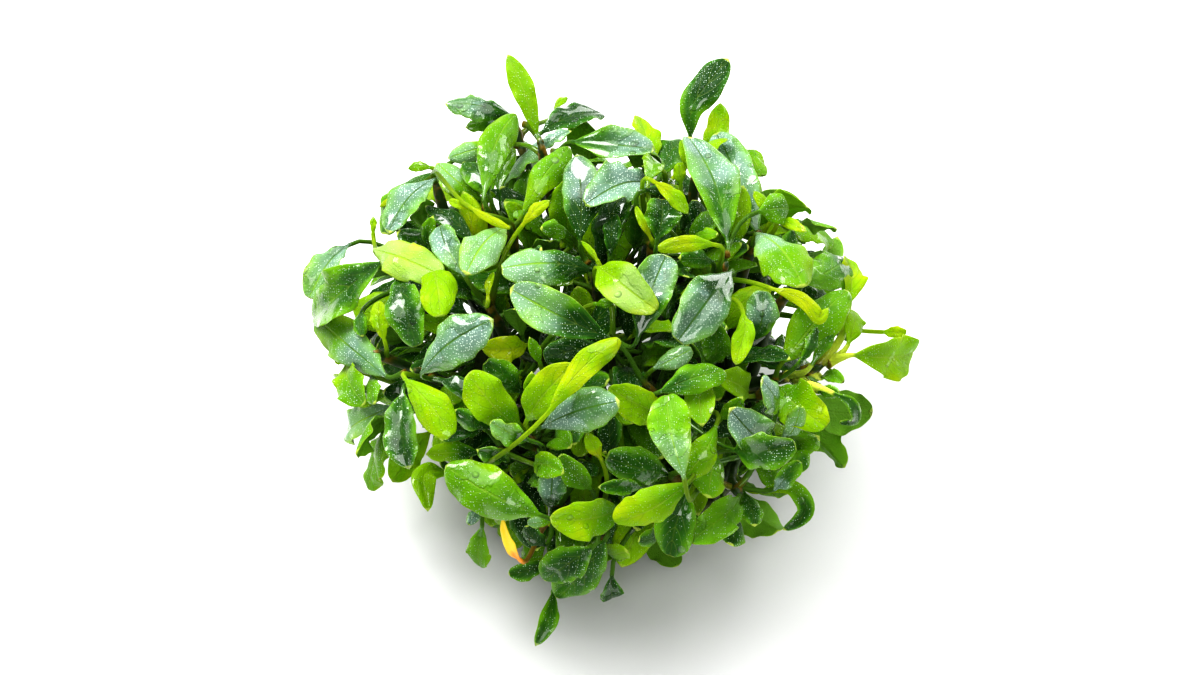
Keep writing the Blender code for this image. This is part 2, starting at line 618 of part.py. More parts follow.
def place_leaf(room, crowns, steps, choices, one, fused):
    """The first way to lay a leaf that is clear of everything, with the crown and step it grows from."""
    for points, facing, half_width in choices:
        blade = blade_rings(points, facing, half_width, ROUGH_BLADE, CLEARANCE)
        if not room.clear(blade):
            continue
        near = sorted(range(len(crowns)), key=lambda n: petiole_cost(crowns[n].point, points))
        for number in near[:NEAR_CROWNS]:
            crown = crowns[number]
            free = [step for step in range(LEAF_STEPS) if step not in steps[number]]
            for step in free[:NEAR_STEPS]:
                placed = Placed(one, points, facing, crown, step, half_width)
                path = petiole_path(placed, fused)
                if path[:, 2].min() < LOWEST:
                    continue
                wide = tube_rings(path, [PETIOLE_RADIUS + CLEARANCE] * len(path), 4, facing)
                slim = tube_rings(path, [PETIOLE_RADIUS] * len(path), 4, facing)
                own = {("stem", crown.key), ("petiole", crown.shoot)} if fused else set()
                if not room.clear(wide if fused else wide[1:], passed=own):
                    continue
                if not room.clear(slim, passed=own):
                    continue
                steps[number].add(step)
                room.add("blade", None, blade_rings(points, facing, half_width, ROUGH_BLADE))
                room.add("petiole", crown.shoot if fused else None, slim)
                return placed
    return None


def stem_path(foot, first_way, crown_point, last_way):
    """A stem's path: one cubic from its foot on a rhizome, or from its fork, to its crown."""
    reach = np.linalg.norm(crown_point - foot) * STEM_REACH
    corners = (foot, foot + first_way * reach, crown_point - last_way * reach, crown_point)
    t = np.linspace(0.0, 1.0, STEM_RINGS)[:, None]
    weights = ((1 - t) ** 3, 3 * (1 - t) ** 2 * t, 3 * (1 - t) * t**2, t**3)
    return sum(weight * corner for weight, corner in zip(weights, corners))


def stem_rings(path, foot_radius, spare=0.0):
    """A stem's rings. A fork's foot is slimmer, so that it stays inside the stem that it leaves."""
    radii = np.linspace(foot_radius, STEM_RADIUS, len(path)) + spare
    return tube_rings(path, radii, STEM_SIDES, STEM_SIDE)


def feet(rhizome_paths, crown_point):
    """Places on the rhizomes where a stem could start, the nearest to its crown first."""
    places = []
    for path in rhizome_paths:
        share = np.linspace(*FOOT_SPAN, FOOT_CHOICES)
        ahead = np.gradient(along(path, share), axis=0)
        for middle, way in zip(along(path, share), ahead):
            out = crown_point - middle
            out = unit(out - unit(way) * (out @ unit(way)))
            foot = middle + out * (RHIZOME_RADIUS + GAP)
            places.append((np.linalg.norm(crown_point - foot), foot, out))
    return sorted(places, key=lambda place: place[0])


def fork(stem, share, crown_point):
    """A point on a stem's axis where another may fork off, and its way out: aside and a little up."""
    here, ahead = along(stem, np.array([share, share + FORK_NEARBY]))
    way = unit(ahead - here)
    out = crown_point - here
    return here, unit(unit(out - way * (out @ way)) + FORK_RISE * way)


def grow_shoot(room, rhizome_paths, shoot, crown_points):
    """A shoot's crowns on their stems. The first stem starts on a rhizome and the others fork off it."""
    crowns = []
    for point in crown_points:
        last_way = unit(outward(point) + STEM_UPRIGHT * UPWARDS)
        if not crowns:
            starts = [(foot, out) for _, foot, out in feet(rhizome_paths, point)]
        else:
            starts = [fork(crowns[0].stem, share, point) for share in FORKS]
        for foot, out in starts:
            path = stem_path(foot, out, point, last_way)
            too_low = path[:, 2].min() < LOWEST + STEM_FOOT_RADIUS
            if too_low or np.linalg.norm(point - foot) < SHORTEST_STEM:
                continue
            forked = {("stem", crowns[0].key)} if crowns else set()
            foot_radius = FORK_FOOT_RADIUS if crowns else STEM_FOOT_RADIUS
            if not room.clear(stem_rings(path, foot_radius), passed=forked):
                continue
            beside = forked | {("rhizome", None)}
            if not room.clear(stem_rings(path, foot_radius, CLEARANCE), passed=beside):
                continue
            key = f"{shoot} {len(crowns)}"
            room.add("stem", key, stem_rings(path, foot_radius))
            crowns.append(Crown(shoot, key, point, path))
            break
    return crowns


def seen_crowns(shoot):
    """A photographed shoot's crown points, under the dome by their depth but not past the dome's middle."""
    depth = SHALLOW_CROWNS.get(shoot, CROWN_DEPTH)
    points = []
    for pixel in SHOOTS[shoot]:
        pixel = np.array(pixel, float)
        near = dome_depth(pixel)
        way = sight_line(pixel)
        middle = (DOME_CENTRE - EYE) @ way / (way @ way)
        point = at_depth(pixel, min(near + depth, max(middle, near)))
        point[2] = max(point[2], LOWEST + STEM_FOOT_RADIUS + CROWN_ROOM)
        points.append(point)
    return points


def hidden_crowns():
    """Crown points on the side of the dome that the photograph doesn't show, in threes for one shoot each.

    The golden angle spreads them evenly over the dome."""
    found = []
    for number in range(HIDDEN_CROWNS):
        rise = 1 - 2 * (number + 0.5) / HIDDEN_CROWNS
        turn = number * GOLDEN_ANGLE
        flat = math.sqrt(1 - rise * rise)
        way = np.array([flat * math.cos(turn), flat * math.sin(turn), rise])
        point = DOME_CENTRE + way * DOME_HALF * HIDDEN_CROWN_REACH
        if outward(DOME_CENTRE + way * DOME_HALF) @ FORWARD > HIDDEN_FROM and point[2] > HIDDEN_LOWEST:
            found.append(point)
    found.sort(key=lambda point: math.atan2(point[1], point[0]))
    return [found[n : n + 3] for n in range(0, len(found), 3)]


def hidden_choices(draw, crown_point, number):
    """Ways to lay a leaf that the photograph doesn't show, fanned out of its crown to the dome's skin."""
    out = outward(crown_point)
    across = unit(np.cross(out, HIDDEN_LEAN_AXIS))
    beside = np.cross(out, across)
    start_turn = number * GOLDEN_ANGLE + draw.uniform(-HIDDEN_START, HIDDEN_START)
    spread = draw.uniform(*HIDDEN_SPREAD)
    wide = draw.uniform(*HIDDEN_WIDE)
    lift = draw.uniform(*HIDDEN_LIFT)
    rise = UPWARDS * (crown_point[2] - DOME_CENTRE[2]) / HIDDEN_RISE_OVER
    changes = itertools.product(HIDDEN_TURNS, HIDDEN_SINKS, HIDDEN_LEANS)
    for turn, sink, lean in sorted(changes, key=hidden_change_cost):
        angle = start_turn + math.radians(turn)
        aside = across * math.cos(angle) + beside * math.sin(angle)
        base = crown_point + out * HIDDEN_BASE_OUT + aside * HIDDEN_BASE_ASIDE * spread
        way = unit(out * (1.0 - HIDDEN_INWARD * spread + lean) + aside * HIDDEN_ASIDE * spread + rise)
        tip = base + way * wide * BLADE_RATIO * HIDDEN_LENGTH
        size = np.linalg.norm((tip - DOME_CENTRE) / DOME_HALF)
        tip = DOME_CENTRE + (tip - DOME_CENTRE) / size * min(size, 1.0) + out * (lift - sink)
        tip[2] = max(tip[2], LOWEST)
        base[2] = max(base[2], LOWEST + 1)
        chord = unit(tip - base)
        facing = outward((base + tip) / 2) + HIDDEN_FACING_UP - aside * HIDDEN_CUPPED
        facing = unit(facing - chord * (facing @ chord))
        length = np.linalg.norm(tip - base)
        yield np.array([base, tip]), facing, min(wide, length / HIDDEN_LEAST_RATIO) / 2


def hidden_change_cost(change):
    """How much a change of turn, sink and lean alters a hidden leaf, so that the least is tried first."""
    turn, sink, lean = change
    return abs(turn) / 12 + abs(sink) / 1.5 + abs(lean) * 4


def closed_mesh(name, rings, tip, colour, collection):
    """A closed object over a stack of rings, in metres, with its faces outwards."""
    vertices, faces = ring_faces(rings, tip)
    shape = bmesh.new()
    corners = [shape.verts.new(Vector(vertex) * MM) for vertex in vertices]
    for face in faces:
        shape.faces.new([corners[index] for index in face])
    bmesh.ops.recalc_face_normals(shape, faces=shape.faces)
    mesh = bpy.data.meshes.new(name)
    shape.to_mesh(mesh)
    shape.free()
    mesh.shade_smooth()
    mesh.set_sharp_from_angle(angle=SHARP_ANGLE)
    mesh.materials.append(material(colour))
    made = bpy.data.objects.new(name, mesh)
    collection.objects.link(made)
    return made


def material(colour):
    """The material of that colour, made once."""
    name = "colour_" + "_".join(f"{round(part * 100):02d}" for part in colour)
    made = bpy.data.materials.get(name)
    if made is None:
        made = bpy.data.materials.new(name)
        made.use_nodes = True
        shader = made.node_tree.nodes["Principled BSDF"]
        shader.inputs["Base Color"].default_value = (*colour, 1.0)
        shader.inputs["Roughness"].default_value = ROUGHNESS
    return made


def add_leaf(name, placed, fused, collection):
    """A leaf's solid: four-sided where it is a node, and three-sided where it is fused to its shoot."""
    stations = LEAF_STATIONS
    if fused:
        stations = NARROW_STATIONS if placed.half_width * 2 < NARROW else FUSED_STATIONS
    corners = [0, 1, 2] if fused else [0, 1, 2, 3]
    rings, tip = leaf_rings(placed, stations, corners, fused)
    colour = placed.leaf.colour if placed.leaf else LEAF_GREEN
    return closed_mesh(name, rings, tip, colour, collection)


def root_mat():
    """A low mound of matted roots with a flat underside: rings of a lumpy disc, from its foot up."""
    turn = np.arange(ROOT_MAT_SIDES) * 2 * math.pi / ROOT_MAT_SIDES
    rings = []
    for level, reach in ROOT_MAT_PROFILE:
        lumps = 1.0
        for size, count, start, twist in ROOT_MAT_LUMPS:
            lumps = lumps + size * np.sin(count * turn + start + twist * level)
        radius = ROOT_MAT_RADIUS * reach * lumps
        height = np.full(len(turn), ROOT_MAT_TALL * level)
        rings.append(np.stack([radius * np.cos(turn), radius * np.sin(turn), height], axis=1))
    return np.array(rings)


def main():
    for made in list(bpy.data.objects):
        bpy.data.objects.remove(made, do_unlink=True)
    scene_collection = bpy.context.scene.collection
    room = Room()
    mat = root_mat()
    mat_tip = np.array([0.0, 0.0, ROOT_MAT_TALL])
    room.add("root mat", None, mat, mat_tip)
    closed_mesh("root_mat", mat, mat_tip, ROOT_BROWN, scene_collection)

    rhizome_paths = []
    for name, route in RHIZOMES.items():
        path = along(np.array(route, float), np.linspace(0.0, 1.0, RHIZOME_RINGS))
        taper = 1 - RHIZOME_TAPER * np.abs(np.linspace(-1.0, 1.0, RHIZOME_RINGS)) ** 3
        rings = tube_rings(path, RHIZOME_RADIUS * taper, RHIZOME_SIDES, UPWARDS)
        room.add("rhizome", None, rings)
        closed_mesh(name, rings, None, RHIZOME_BROWN, scene_collection)
        rhizome_paths.append(path)

    crowns = []
    for shoot in SHOOTS:
        crowns += grow_shoot(room, rhizome_paths, shoot, seen_crowns(shoot))
    seen_count = len(crowns)
    back_shoots = 0
    for points in hidden_crowns():
        found = grow_shoot(room, rhizome_paths, f"shoot_back_{back_shoots + 1}", points)
        back_shoots += bool(found)
        crowns += found

    steps = [set() for _ in crowns]
    grown = []
    for one in LEAVES:
        if one.wide < SMALLEST:
            continue
        placed = place_leaf(room, crowns, steps, seen_choices(one), one, fused=one.name is None)
        if placed is not None:
            grown.append(placed)
    draw = random.Random(SEED)
    for number in range(HIDDEN_LEAVES):
        for index in range(seen_count, len(crowns)):
            choices = hidden_choices(draw, crowns[index].point, number)
            placed = place_leaf(room, [crowns[index]], [steps[index]], choices, None, True)
            if placed is not None:
                grown.append(placed)

    fused = {}
    for placed in grown:
        if placed.leaf is not None and placed.leaf.name:
            add_leaf(placed.leaf.name, placed, False, scene_collection)
        else:
            fused.setdefault(placed.crown.shoot, []).append(placed)
    for shoot in {crown.shoot: None for crown in crowns}:
        stems = [crown.stem for crown in crowns if crown.shoot == shoot]
        rings = stem_rings(stems[0], STEM_FOOT_RADIUS)
        stem = closed_mesh(shoot, rings, None, LEAF_GREEN, scene_collection)
        joined = bpy.data.collections.new(shoot + "_leaves")
        scene_collection.children.link(joined)
        joined.hide_render = True
        for branch in stems[1:]:
            rings = stem_rings(branch, FORK_FOOT_RADIUS)
            closed_mesh(shoot + "_fork", rings, None, LEAF_GREEN, joined)
        for placed in fused.get(shoot, []):
            add_leaf(shoot + "_leaf", placed, True, joined)
        if joined.objects:
            union = stem.modifiers.new("leaves", "BOOLEAN")
            union.operation = "UNION"
            union.operand_type = "COLLECTION"
            union.collection = joined
        for helper in joined.objects:
            helper.hide_render = True
            helper.display_type = "WIRE"


main()
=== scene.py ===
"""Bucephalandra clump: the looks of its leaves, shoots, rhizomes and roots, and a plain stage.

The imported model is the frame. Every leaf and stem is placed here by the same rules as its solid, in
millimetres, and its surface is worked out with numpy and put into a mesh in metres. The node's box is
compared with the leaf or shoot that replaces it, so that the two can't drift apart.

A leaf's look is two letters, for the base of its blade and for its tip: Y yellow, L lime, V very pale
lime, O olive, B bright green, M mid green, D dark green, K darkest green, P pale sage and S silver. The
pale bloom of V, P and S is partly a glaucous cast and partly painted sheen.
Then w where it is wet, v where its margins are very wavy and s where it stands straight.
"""

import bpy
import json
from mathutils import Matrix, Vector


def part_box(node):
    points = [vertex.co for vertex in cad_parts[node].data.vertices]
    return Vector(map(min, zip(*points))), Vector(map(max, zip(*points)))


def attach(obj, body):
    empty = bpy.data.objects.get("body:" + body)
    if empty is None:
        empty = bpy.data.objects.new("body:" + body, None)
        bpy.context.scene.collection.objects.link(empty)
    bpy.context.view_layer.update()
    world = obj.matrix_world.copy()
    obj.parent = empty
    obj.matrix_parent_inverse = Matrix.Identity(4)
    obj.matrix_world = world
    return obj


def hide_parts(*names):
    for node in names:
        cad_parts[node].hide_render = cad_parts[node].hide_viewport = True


bl_info = {
    "name": "Bucephalandra clump",
    "version": (1, 0, 0),
    "blender": (4, 5, 0),
    "location": "3D View > Sidebar > Clump",
    "description": "Builds the wet leaves, shoots, rhizomes and roots of a small aquarium plant",
    "category": "Object",
}

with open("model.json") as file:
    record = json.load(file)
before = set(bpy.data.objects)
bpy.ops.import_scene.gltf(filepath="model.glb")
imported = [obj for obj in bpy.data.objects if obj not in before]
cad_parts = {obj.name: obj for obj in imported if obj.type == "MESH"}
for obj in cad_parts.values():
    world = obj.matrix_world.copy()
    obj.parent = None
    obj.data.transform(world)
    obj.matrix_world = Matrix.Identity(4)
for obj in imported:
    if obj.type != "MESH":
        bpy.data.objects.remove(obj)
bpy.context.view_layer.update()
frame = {"record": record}

import functools
import itertools
import json
import math
import random
from collections import namedtuple

import bpy
import numpy as np
from mathutils import Vector
from mathutils.bvhtree import BVHTree

MM = 0.001

# The clump's dome
DOME_CENTRE = np.array([0.0, 0.0, 36.0])
DOME_HALF = np.array([57.0, 54.0, 38.0])

# How the photo looks at it
PHOTO_MIDDLE = np.array([600.0, 337.5])
PHOTO_OF_DOME_CENTRE = np.array([600.0, 350.0])
PHOTO_ELEVATION = math.radians(48)
PHOTO_DISTANCE = 667.0
MM_PER_PIXEL = 0.2

# A leaf
BLADE_THICK = 0.8
BLADE_RATIO = 2.1  # length over width
BLADE_ARCH = 0.08  # rise of the middle over length
BLADE_FOLD = 0.16  # rise of the margins over half the width
OVAL_SHIFT = 1.12  # above 1, the blade is widest past its middle
OVAL_FULLNESS = 0.72  # below 1, the blade is fuller than a sine
BLADE_START = 0.08  # share of a blade that gives the line that its petiole joins
BLADE_FOOT = 0.05  # the same for the ring between the two
NEARBY = 0.02  # share of a blade around a point that gives its direction there
PETIOLE_RADIUS = 0.65
PETIOLE_FADE = 3.0  # one over the share of a blade in which its thickness is lost
PETIOLE_RINGS = 3
PETIOLE_REACH = 0.4
PETIOLE_TURN_COST = 1.7
BURIAL = (2.0, 7.0, 15.0)  # least, usual and greatest depth of a blade's base under the dome
TOWARDS_EYE = 0.6  # share of a blade's facing that looks at the eye, where the rest looks outwards
LOWEST = 1.2
SMALLEST = 2.2  # narrower leaves have no solid
ROUGH_BLADE = (0.0, 0.15, 0.35, 0.6, 0.85, 1.0)  # stations of the blade that clearance is tested with

# How a leaf gives way to those placed before it
SHIFTS = (0.0, 1.5, -1.5, 3.0, -3.0, 4.5, -4.5, 6.5, -6.5, 9.0, -9.0, 12.0, -12.0, 16.0)
ROLLS = (0.0, 12.0, -12.0, 25.0, -25.0)
BASE_SHIFT_COST = 0.7  # of moving a blade's base by 1 mm, where moving its tip costs 1
DEGREES_PER_COST = 8.0
MOST_TILT = 7.0  # greatest difference between the shifts of a blade's two ends
NEAR_CROWNS = 3
NEAR_STEPS = 3

# A shoot
CROWN_DEPTH = 14.0
STEM_RADIUS = 1.7
STEM_FOOT_RADIUS = 2.1
STEM_RINGS = 4
STEM_SIDES = 4
STEM_REACH = 0.38
STEM_UPRIGHT = 0.35  # how much a stem's end turns up from the dome's outward direction
STEM_SIDE = np.array([0.0, 0.3, 1.0])
FORK_FOOT_RADIUS = 1.1
SHORTEST_STEM = 8.0
CROWN_ROOM = 2.0  # least height of a crown over the lowest place for a stem
FIRST_LEAF = 0.8  # distance from the crown to the highest petiole
LEAF_STEP = 1.5  # distance along the stem from one petiole to the next
LEAF_STEPS = 9
LOWEST_LEAF = 0.9  # share of a stem below its crown that may carry leaves
STEM_NEARBY = 0.03
FORKS = (0.5, 0.35, 0.65, 0.25, 0.8)  # shares of a first stem where another may fork off
FORK_NEARBY = 0.05
FORK_RISE = 0.5
GAP = 0.35  # between touching nodes
CLEARANCE = 0.4  # kept between leaves
ON_AXIS = 0.5  # a leaf nearer than this to its stem's axis leaves it to one side
PARALLEL = 0.05  # greatest sine of the angle between directions that count as parallel

# The rhizomes and the root mat
RHIZOME_RADIUS = 2.4
RHIZOME_TAPER = 0.25
RHIZOME_RINGS = 7
RHIZOME_SIDES = 6
FOOT_CHOICES = 30
FOOT_SPAN = (0.05, 0.95)  # share of a rhizome that stems may start on
ROOT_MAT_RADIUS = 21.0
ROOT_MAT_TALL = 9.0
ROOT_MAT_SIDES = 16
ROOT_MAT_PROFILE = ((0.0, 0.93), (0.12, 1.0), (0.45, 0.9), (0.78, 0.66), (0.95, 0.36))  # height, radius
ROOT_MAT_LUMPS = ((0.09, 3, 1.0, 0.0), (0.06, 5, 0.0, 7.0))  # size, count around, start, turn with height

# Hidden leaves
HIDDEN_CROWNS = 48
HIDDEN_CROWN_REACH = 0.66
HIDDEN_FROM = -0.15  # least share of the dome's outward direction that looks away from the eye
HIDDEN_LOWEST = 9.0
HIDDEN_LEAVES = 5
HIDDEN_START = 0.4  # greatest chance turn of a leaf from its place around the crown
HIDDEN_SPREAD = (0.75, 1.15)
HIDDEN_WIDE = (6.8, 10.0)
HIDDEN_LIFT = (-1.5, 2.0)
HIDDEN_BASE_OUT = 5.5
HIDDEN_BASE_ASIDE = 4.0
HIDDEN_INWARD = 0.25
HIDDEN_ASIDE = 0.95
HIDDEN_LENGTH = 0.95
HIDDEN_RISE_OVER = 60.0
HIDDEN_FACING_UP = np.array([0.0, 0.0, 0.35])
HIDDEN_CUPPED = 0.2
HIDDEN_LEAST_RATIO = 1.7
HIDDEN_LEAN_AXIS = np.array([0.1, 0.2, 1.0])
HIDDEN_TURNS = (0, 12, -12, 25, -25, 40, -40, 60, -60)
HIDDEN_SINKS = (0.0, 2.0, -1.5, 4.0, 7.0)
HIDDEN_LEANS = (0.0, 0.25, -0.25)
GOLDEN_ANGLE = math.pi * (3 - math.sqrt(5))
SEED = 7

UPWARDS = np.array([0.0, 0.0, 1.0])

# Young and hidden leaves that have no solid
INNER_LEAVES = 320
INNER_TRIES = 7000
INNER_SITES = 5
INNER_SITE_SPAN = (0.25, 0.95)  # shares of a stem that they grow from
INNER_REACH = (0.35, 0.78)
INNER_SKIN = 0.97
INNER_WIDE = (5.5, 9.0)
INNER_LENGTH = (0.85, 1.1)  # over a seen leaf's of the same width
INNER_LEAN = (0.3, 1.1)
INNER_FACING_UP = 0.5
INNER_FACING_ASIDE = 0.3
INNER_LEAST_RATIO = 1.5
INNER_ABOVE_GROUND = 1.5  # over the lowest place for a leaf with a solid
INNER_CLEARANCE = 0.1
INNER_PETIOLE = 26.0
INNER_DEPTH = 6.0  # least depth under the dome on a sight line
INNER_FAR_SIDE = 0.15  # or least share of the dome's outward direction that looks away from the eye
SEE_THROUGH = (  # pixels where the photo looks past the leaves at stems and shade
    (628, 247), (545, 205), (500, 350), (385, 322), (785, 318), (825, 338), (840, 330), (848, 352),
    (815, 275), (590, 225),
)
SEE_THROUGH_RADIUS = 5.0
OUTLINE = (
    (380, 220), (430, 180), (515, 138), (600, 130), (680, 130), (750, 180), (835, 230), (855, 270),
    (865, 325), (840, 370), (825, 410), (820, 455), (790, 490), (750, 522), (695, 548), (625, 535),
    (625, 585), (560, 605), (480, 558), (475, 495), (430, 455), (388, 410), (340, 350), (325, 300),
    (365, 265),
)
OUTLINE_SPARE = 1.04  # how far inside it inner leaves stay, as a scale about its middle

# The visible surfaces
FINE_GRID = (12, 34, 9)  # spans across a blade, stations along it, and stations along its petiole
COARSE_GRID = (6, 12, 5)  # the same for an inner leaf
LAST_STATION = 0.985  # share of a blade where its last ring stands
EVEN_STATIONS = 0.55  # share of the rings' spacing that is even
CROWDED_STATIONS = 0.45  # and that which crowds them at a blade's ends
FULLNESS = 0.70  # below 1, a blade is fuller than a sine
FULLER_TIP = 0.18  # how much fuller it is towards its tip
SLIMMER = 0.94  # a blade's width over its solid's
LEAF_THICK = 0.5
THIN_MARGIN = 0.45  # share of its thickness that a blade loses at its margins, and how round they are
LEAF_RIB = 0.35
RIB_WIDTH = 0.14  # half a midrib's width over half the blade's
DROOP_SPAN = (0.25, 1.15)
DROOP_POWER = 1.3
RAGGED = ((1.0, 1.7, 7, 9), (0.4, 4.3, 13, 5))  # size, waves, turns with phase and side
TIP_POINT = 0.4
VISIBLE_PETIOLE = 0.45
PETIOLE_LOWEST = VISIBLE_PETIOLE + 0.1
STALK_FADE = 0.16  # share of a blade in which its petiole's roundness is lost
SHEATH = 0.7  # how much wider a petiole's foot is
TONE_CHANGE = (0.26, 0.68)  # shares of a blade between which its base's tone turns into its tip's
AGE_SPREAD = 0.04
DRY = (0.0, 0.6)
WET = (0.75, 1.0)
PALE_SHOOT = "shoot_pale_petioles"
PALE_PETIOLE = 1.6  # how much thicker its petioles are
PETIOLE_SPREAD = 0.36
VERY_WAVY = 1.4
STRAIGHT = 0.1  # how much of its droop a straight leaf keeps
STEM_STATIONS = 26
STEM_CORNERS = 12
STEM_SLIMNESS = 0.52  # a stem's radius over its solid's
STEM_SCAR = 0.12  # and how much of it a leaf scar adds
CROWN_DOME = (0.93, 1.02, 0.75)  # shares of a stem where its crown closes in, and by how much
RHIZOME_STATIONS = 90
RHIZOME_CORNERS = 18
RHIZOME_SCAR = 3.2
RHIZOME_SWELL = (0.92, 0.10, 0.6)  # radius between scars over the solid's, a scar's rise and its power
RHIZOME_END = (24, 0.8)  # power that rounds an end, and how far its radius falls there
RHIZOME_LUMPS = (0.12, 3, 9)  # size, count around and turn with length
MOUND_STATIONS = 24
MOUND_CORNERS = 96
MOUND_TOP = 0.93  # height of its last ring over the mat's
MOUND_PEAK = 0.96
MOUND_RIDGES = (0.97, 0.03, 23, 40)  # least radius, rise, count around and turn with height
STRANDS = 220
HANGING_STRANDS = 15
STRAND_STATIONS = 24
STRAND_LENGTH = (10.0, 24.0)
STRAND_BEND = 2.4
STRAND_HEIGHT = (0.75, 1.0)  # over the mound's
STRAND_WIGGLE = (0.35, 9)  # of its heading, and count along it
STRAND_LIFT = (0.5, 7)  # the same for its height
STRAND_THINNESS = (0.6, 1.0)
STRAND_END = 0.5  # its radius at its end over that at its start
STRAND_SIDE = np.array([0.2, 0.3, 1.0])
STRAND_EDGE = 0.97  # greatest distance from the mat's middle over its radius
HANGING_SPAN = (0.05, 0.95)  # shares of a rhizome that they hang from
HANGING_INWARD = 0.75  # a hanging strand's foot over its top's distance from the middle
HANGING_ASIDE = 5.0
HANGING_WANDER = 1.6
STRAND_RADIUS = 0.35
STRAND_CORNERS = 6

# The stage, its lengths in metres
FLOOR_HALF = 2.0
FLOOR_ROUGHNESS = 0.7
LIGHTS = (  # name and setting, place and size
    ("key", (-0.50, 0.34, 0.80), 0.60),
    ("sheet", (0.0, 0.20, 0.90), 1.15),
    ("rim", (0.55, 0.60, 0.30), 0.5),
    ("fill", (0.10, -0.80, 0.90), 0.6),
)
LENS = 100.0  # in millimetres, as the sensor's width
SENSOR = 36.0

# Limits and random numbers
PLACE_LIMIT = 4.0  # furthest that a visible piece's box may stray from its solid's
LOOK_SEED = 21
YOUNG_STREAM = 2000  # added to a number, so that each kind draws its own
INNER_STREAM = 3000
STEM_STREAM = 5000
INNER_LOOK_STREAM = 7000
HIDDEN_LOOK_STREAM = 9000

# Each letter of a leaf's look: its age from young to old, its silver bloom, partly painted sheen, and its
# thinness to light
TONES = {
    "Y": (0.00, 0.00, 0.60), "V": (0.15, 1.00, 0.50), "L": (0.16, 0.00, 0.50), "O": (0.33, 0.00, 0.40),
    "B": (0.50, 0.00, 0.35), "P": (0.55, 0.90, 0.15), "M": (0.67, 0.00, 0.18), "D": (0.86, 0.00, 0.06),
    "S": (0.83, 1.00, 0.05), "K": (1.10, 0.00, 0.02),
}
HIDDEN_LOOKS = ("MM", "DD", "BB", "OO", "LL", "SS", "PP", "MB", "DS")
HIDDEN_SHARES = (0.20, 0.22, 0.14, 0.08, 0.10, 0.06, 0.06, 0.08, 0.06)
INNER_LOOKS = ("KK", "DD", "MM", "OO", "LL", "BB")
INNER_SHARES = (0.33, 0.26, 0.14, 0.10, 0.10, 0.07)

# The leaf's pattern: its noises' scales per metre, and the heights of its relief in metres
MOTTLE_SCALE = 260.0
PATCH_SCALE = 110.0
BLOTCH_SCALE = 420.0
FILM_RIPPLE_SCALE = 620.0
PAPILLA_HEIGHT = 0.00007
VEIN_HEIGHT = -0.00003
MIDRIB_HEIGHT = -0.00009
FILM_HEIGHT = 0.00012
FILM_RIPPLE = 0.00042
BEAD_RISE = 0.8  # a bead's height over a round one's
# Tints of the pale specks, painted glints of the papillae, on young and on old leaves
YOUNG_GLINT = (0.90, 1.0, 0.55)
OLD_GLINT = (0.66, 0.80, 0.66)

NODE_SLOTS = {entry["node"]: entry["material_slot"] for entry in frame["record"]["subparts"]}

Leaf = namedtuple("Leaf", "route wide lift name look")
Placed = namedtuple("Placed", "leaf points facing crown step half_width")
Crown = namedtuple("Crown", "shoot key point stem")


def leaf(look, wide, lift, *route, name=None):
    """A leaf by its look, its width, its lift over the dome and its blade's pixels from base to tip.

    A named one is a node of its own."""
    return Leaf([np.array(pixel, float) for pixel in route], wide, lift, name, look)


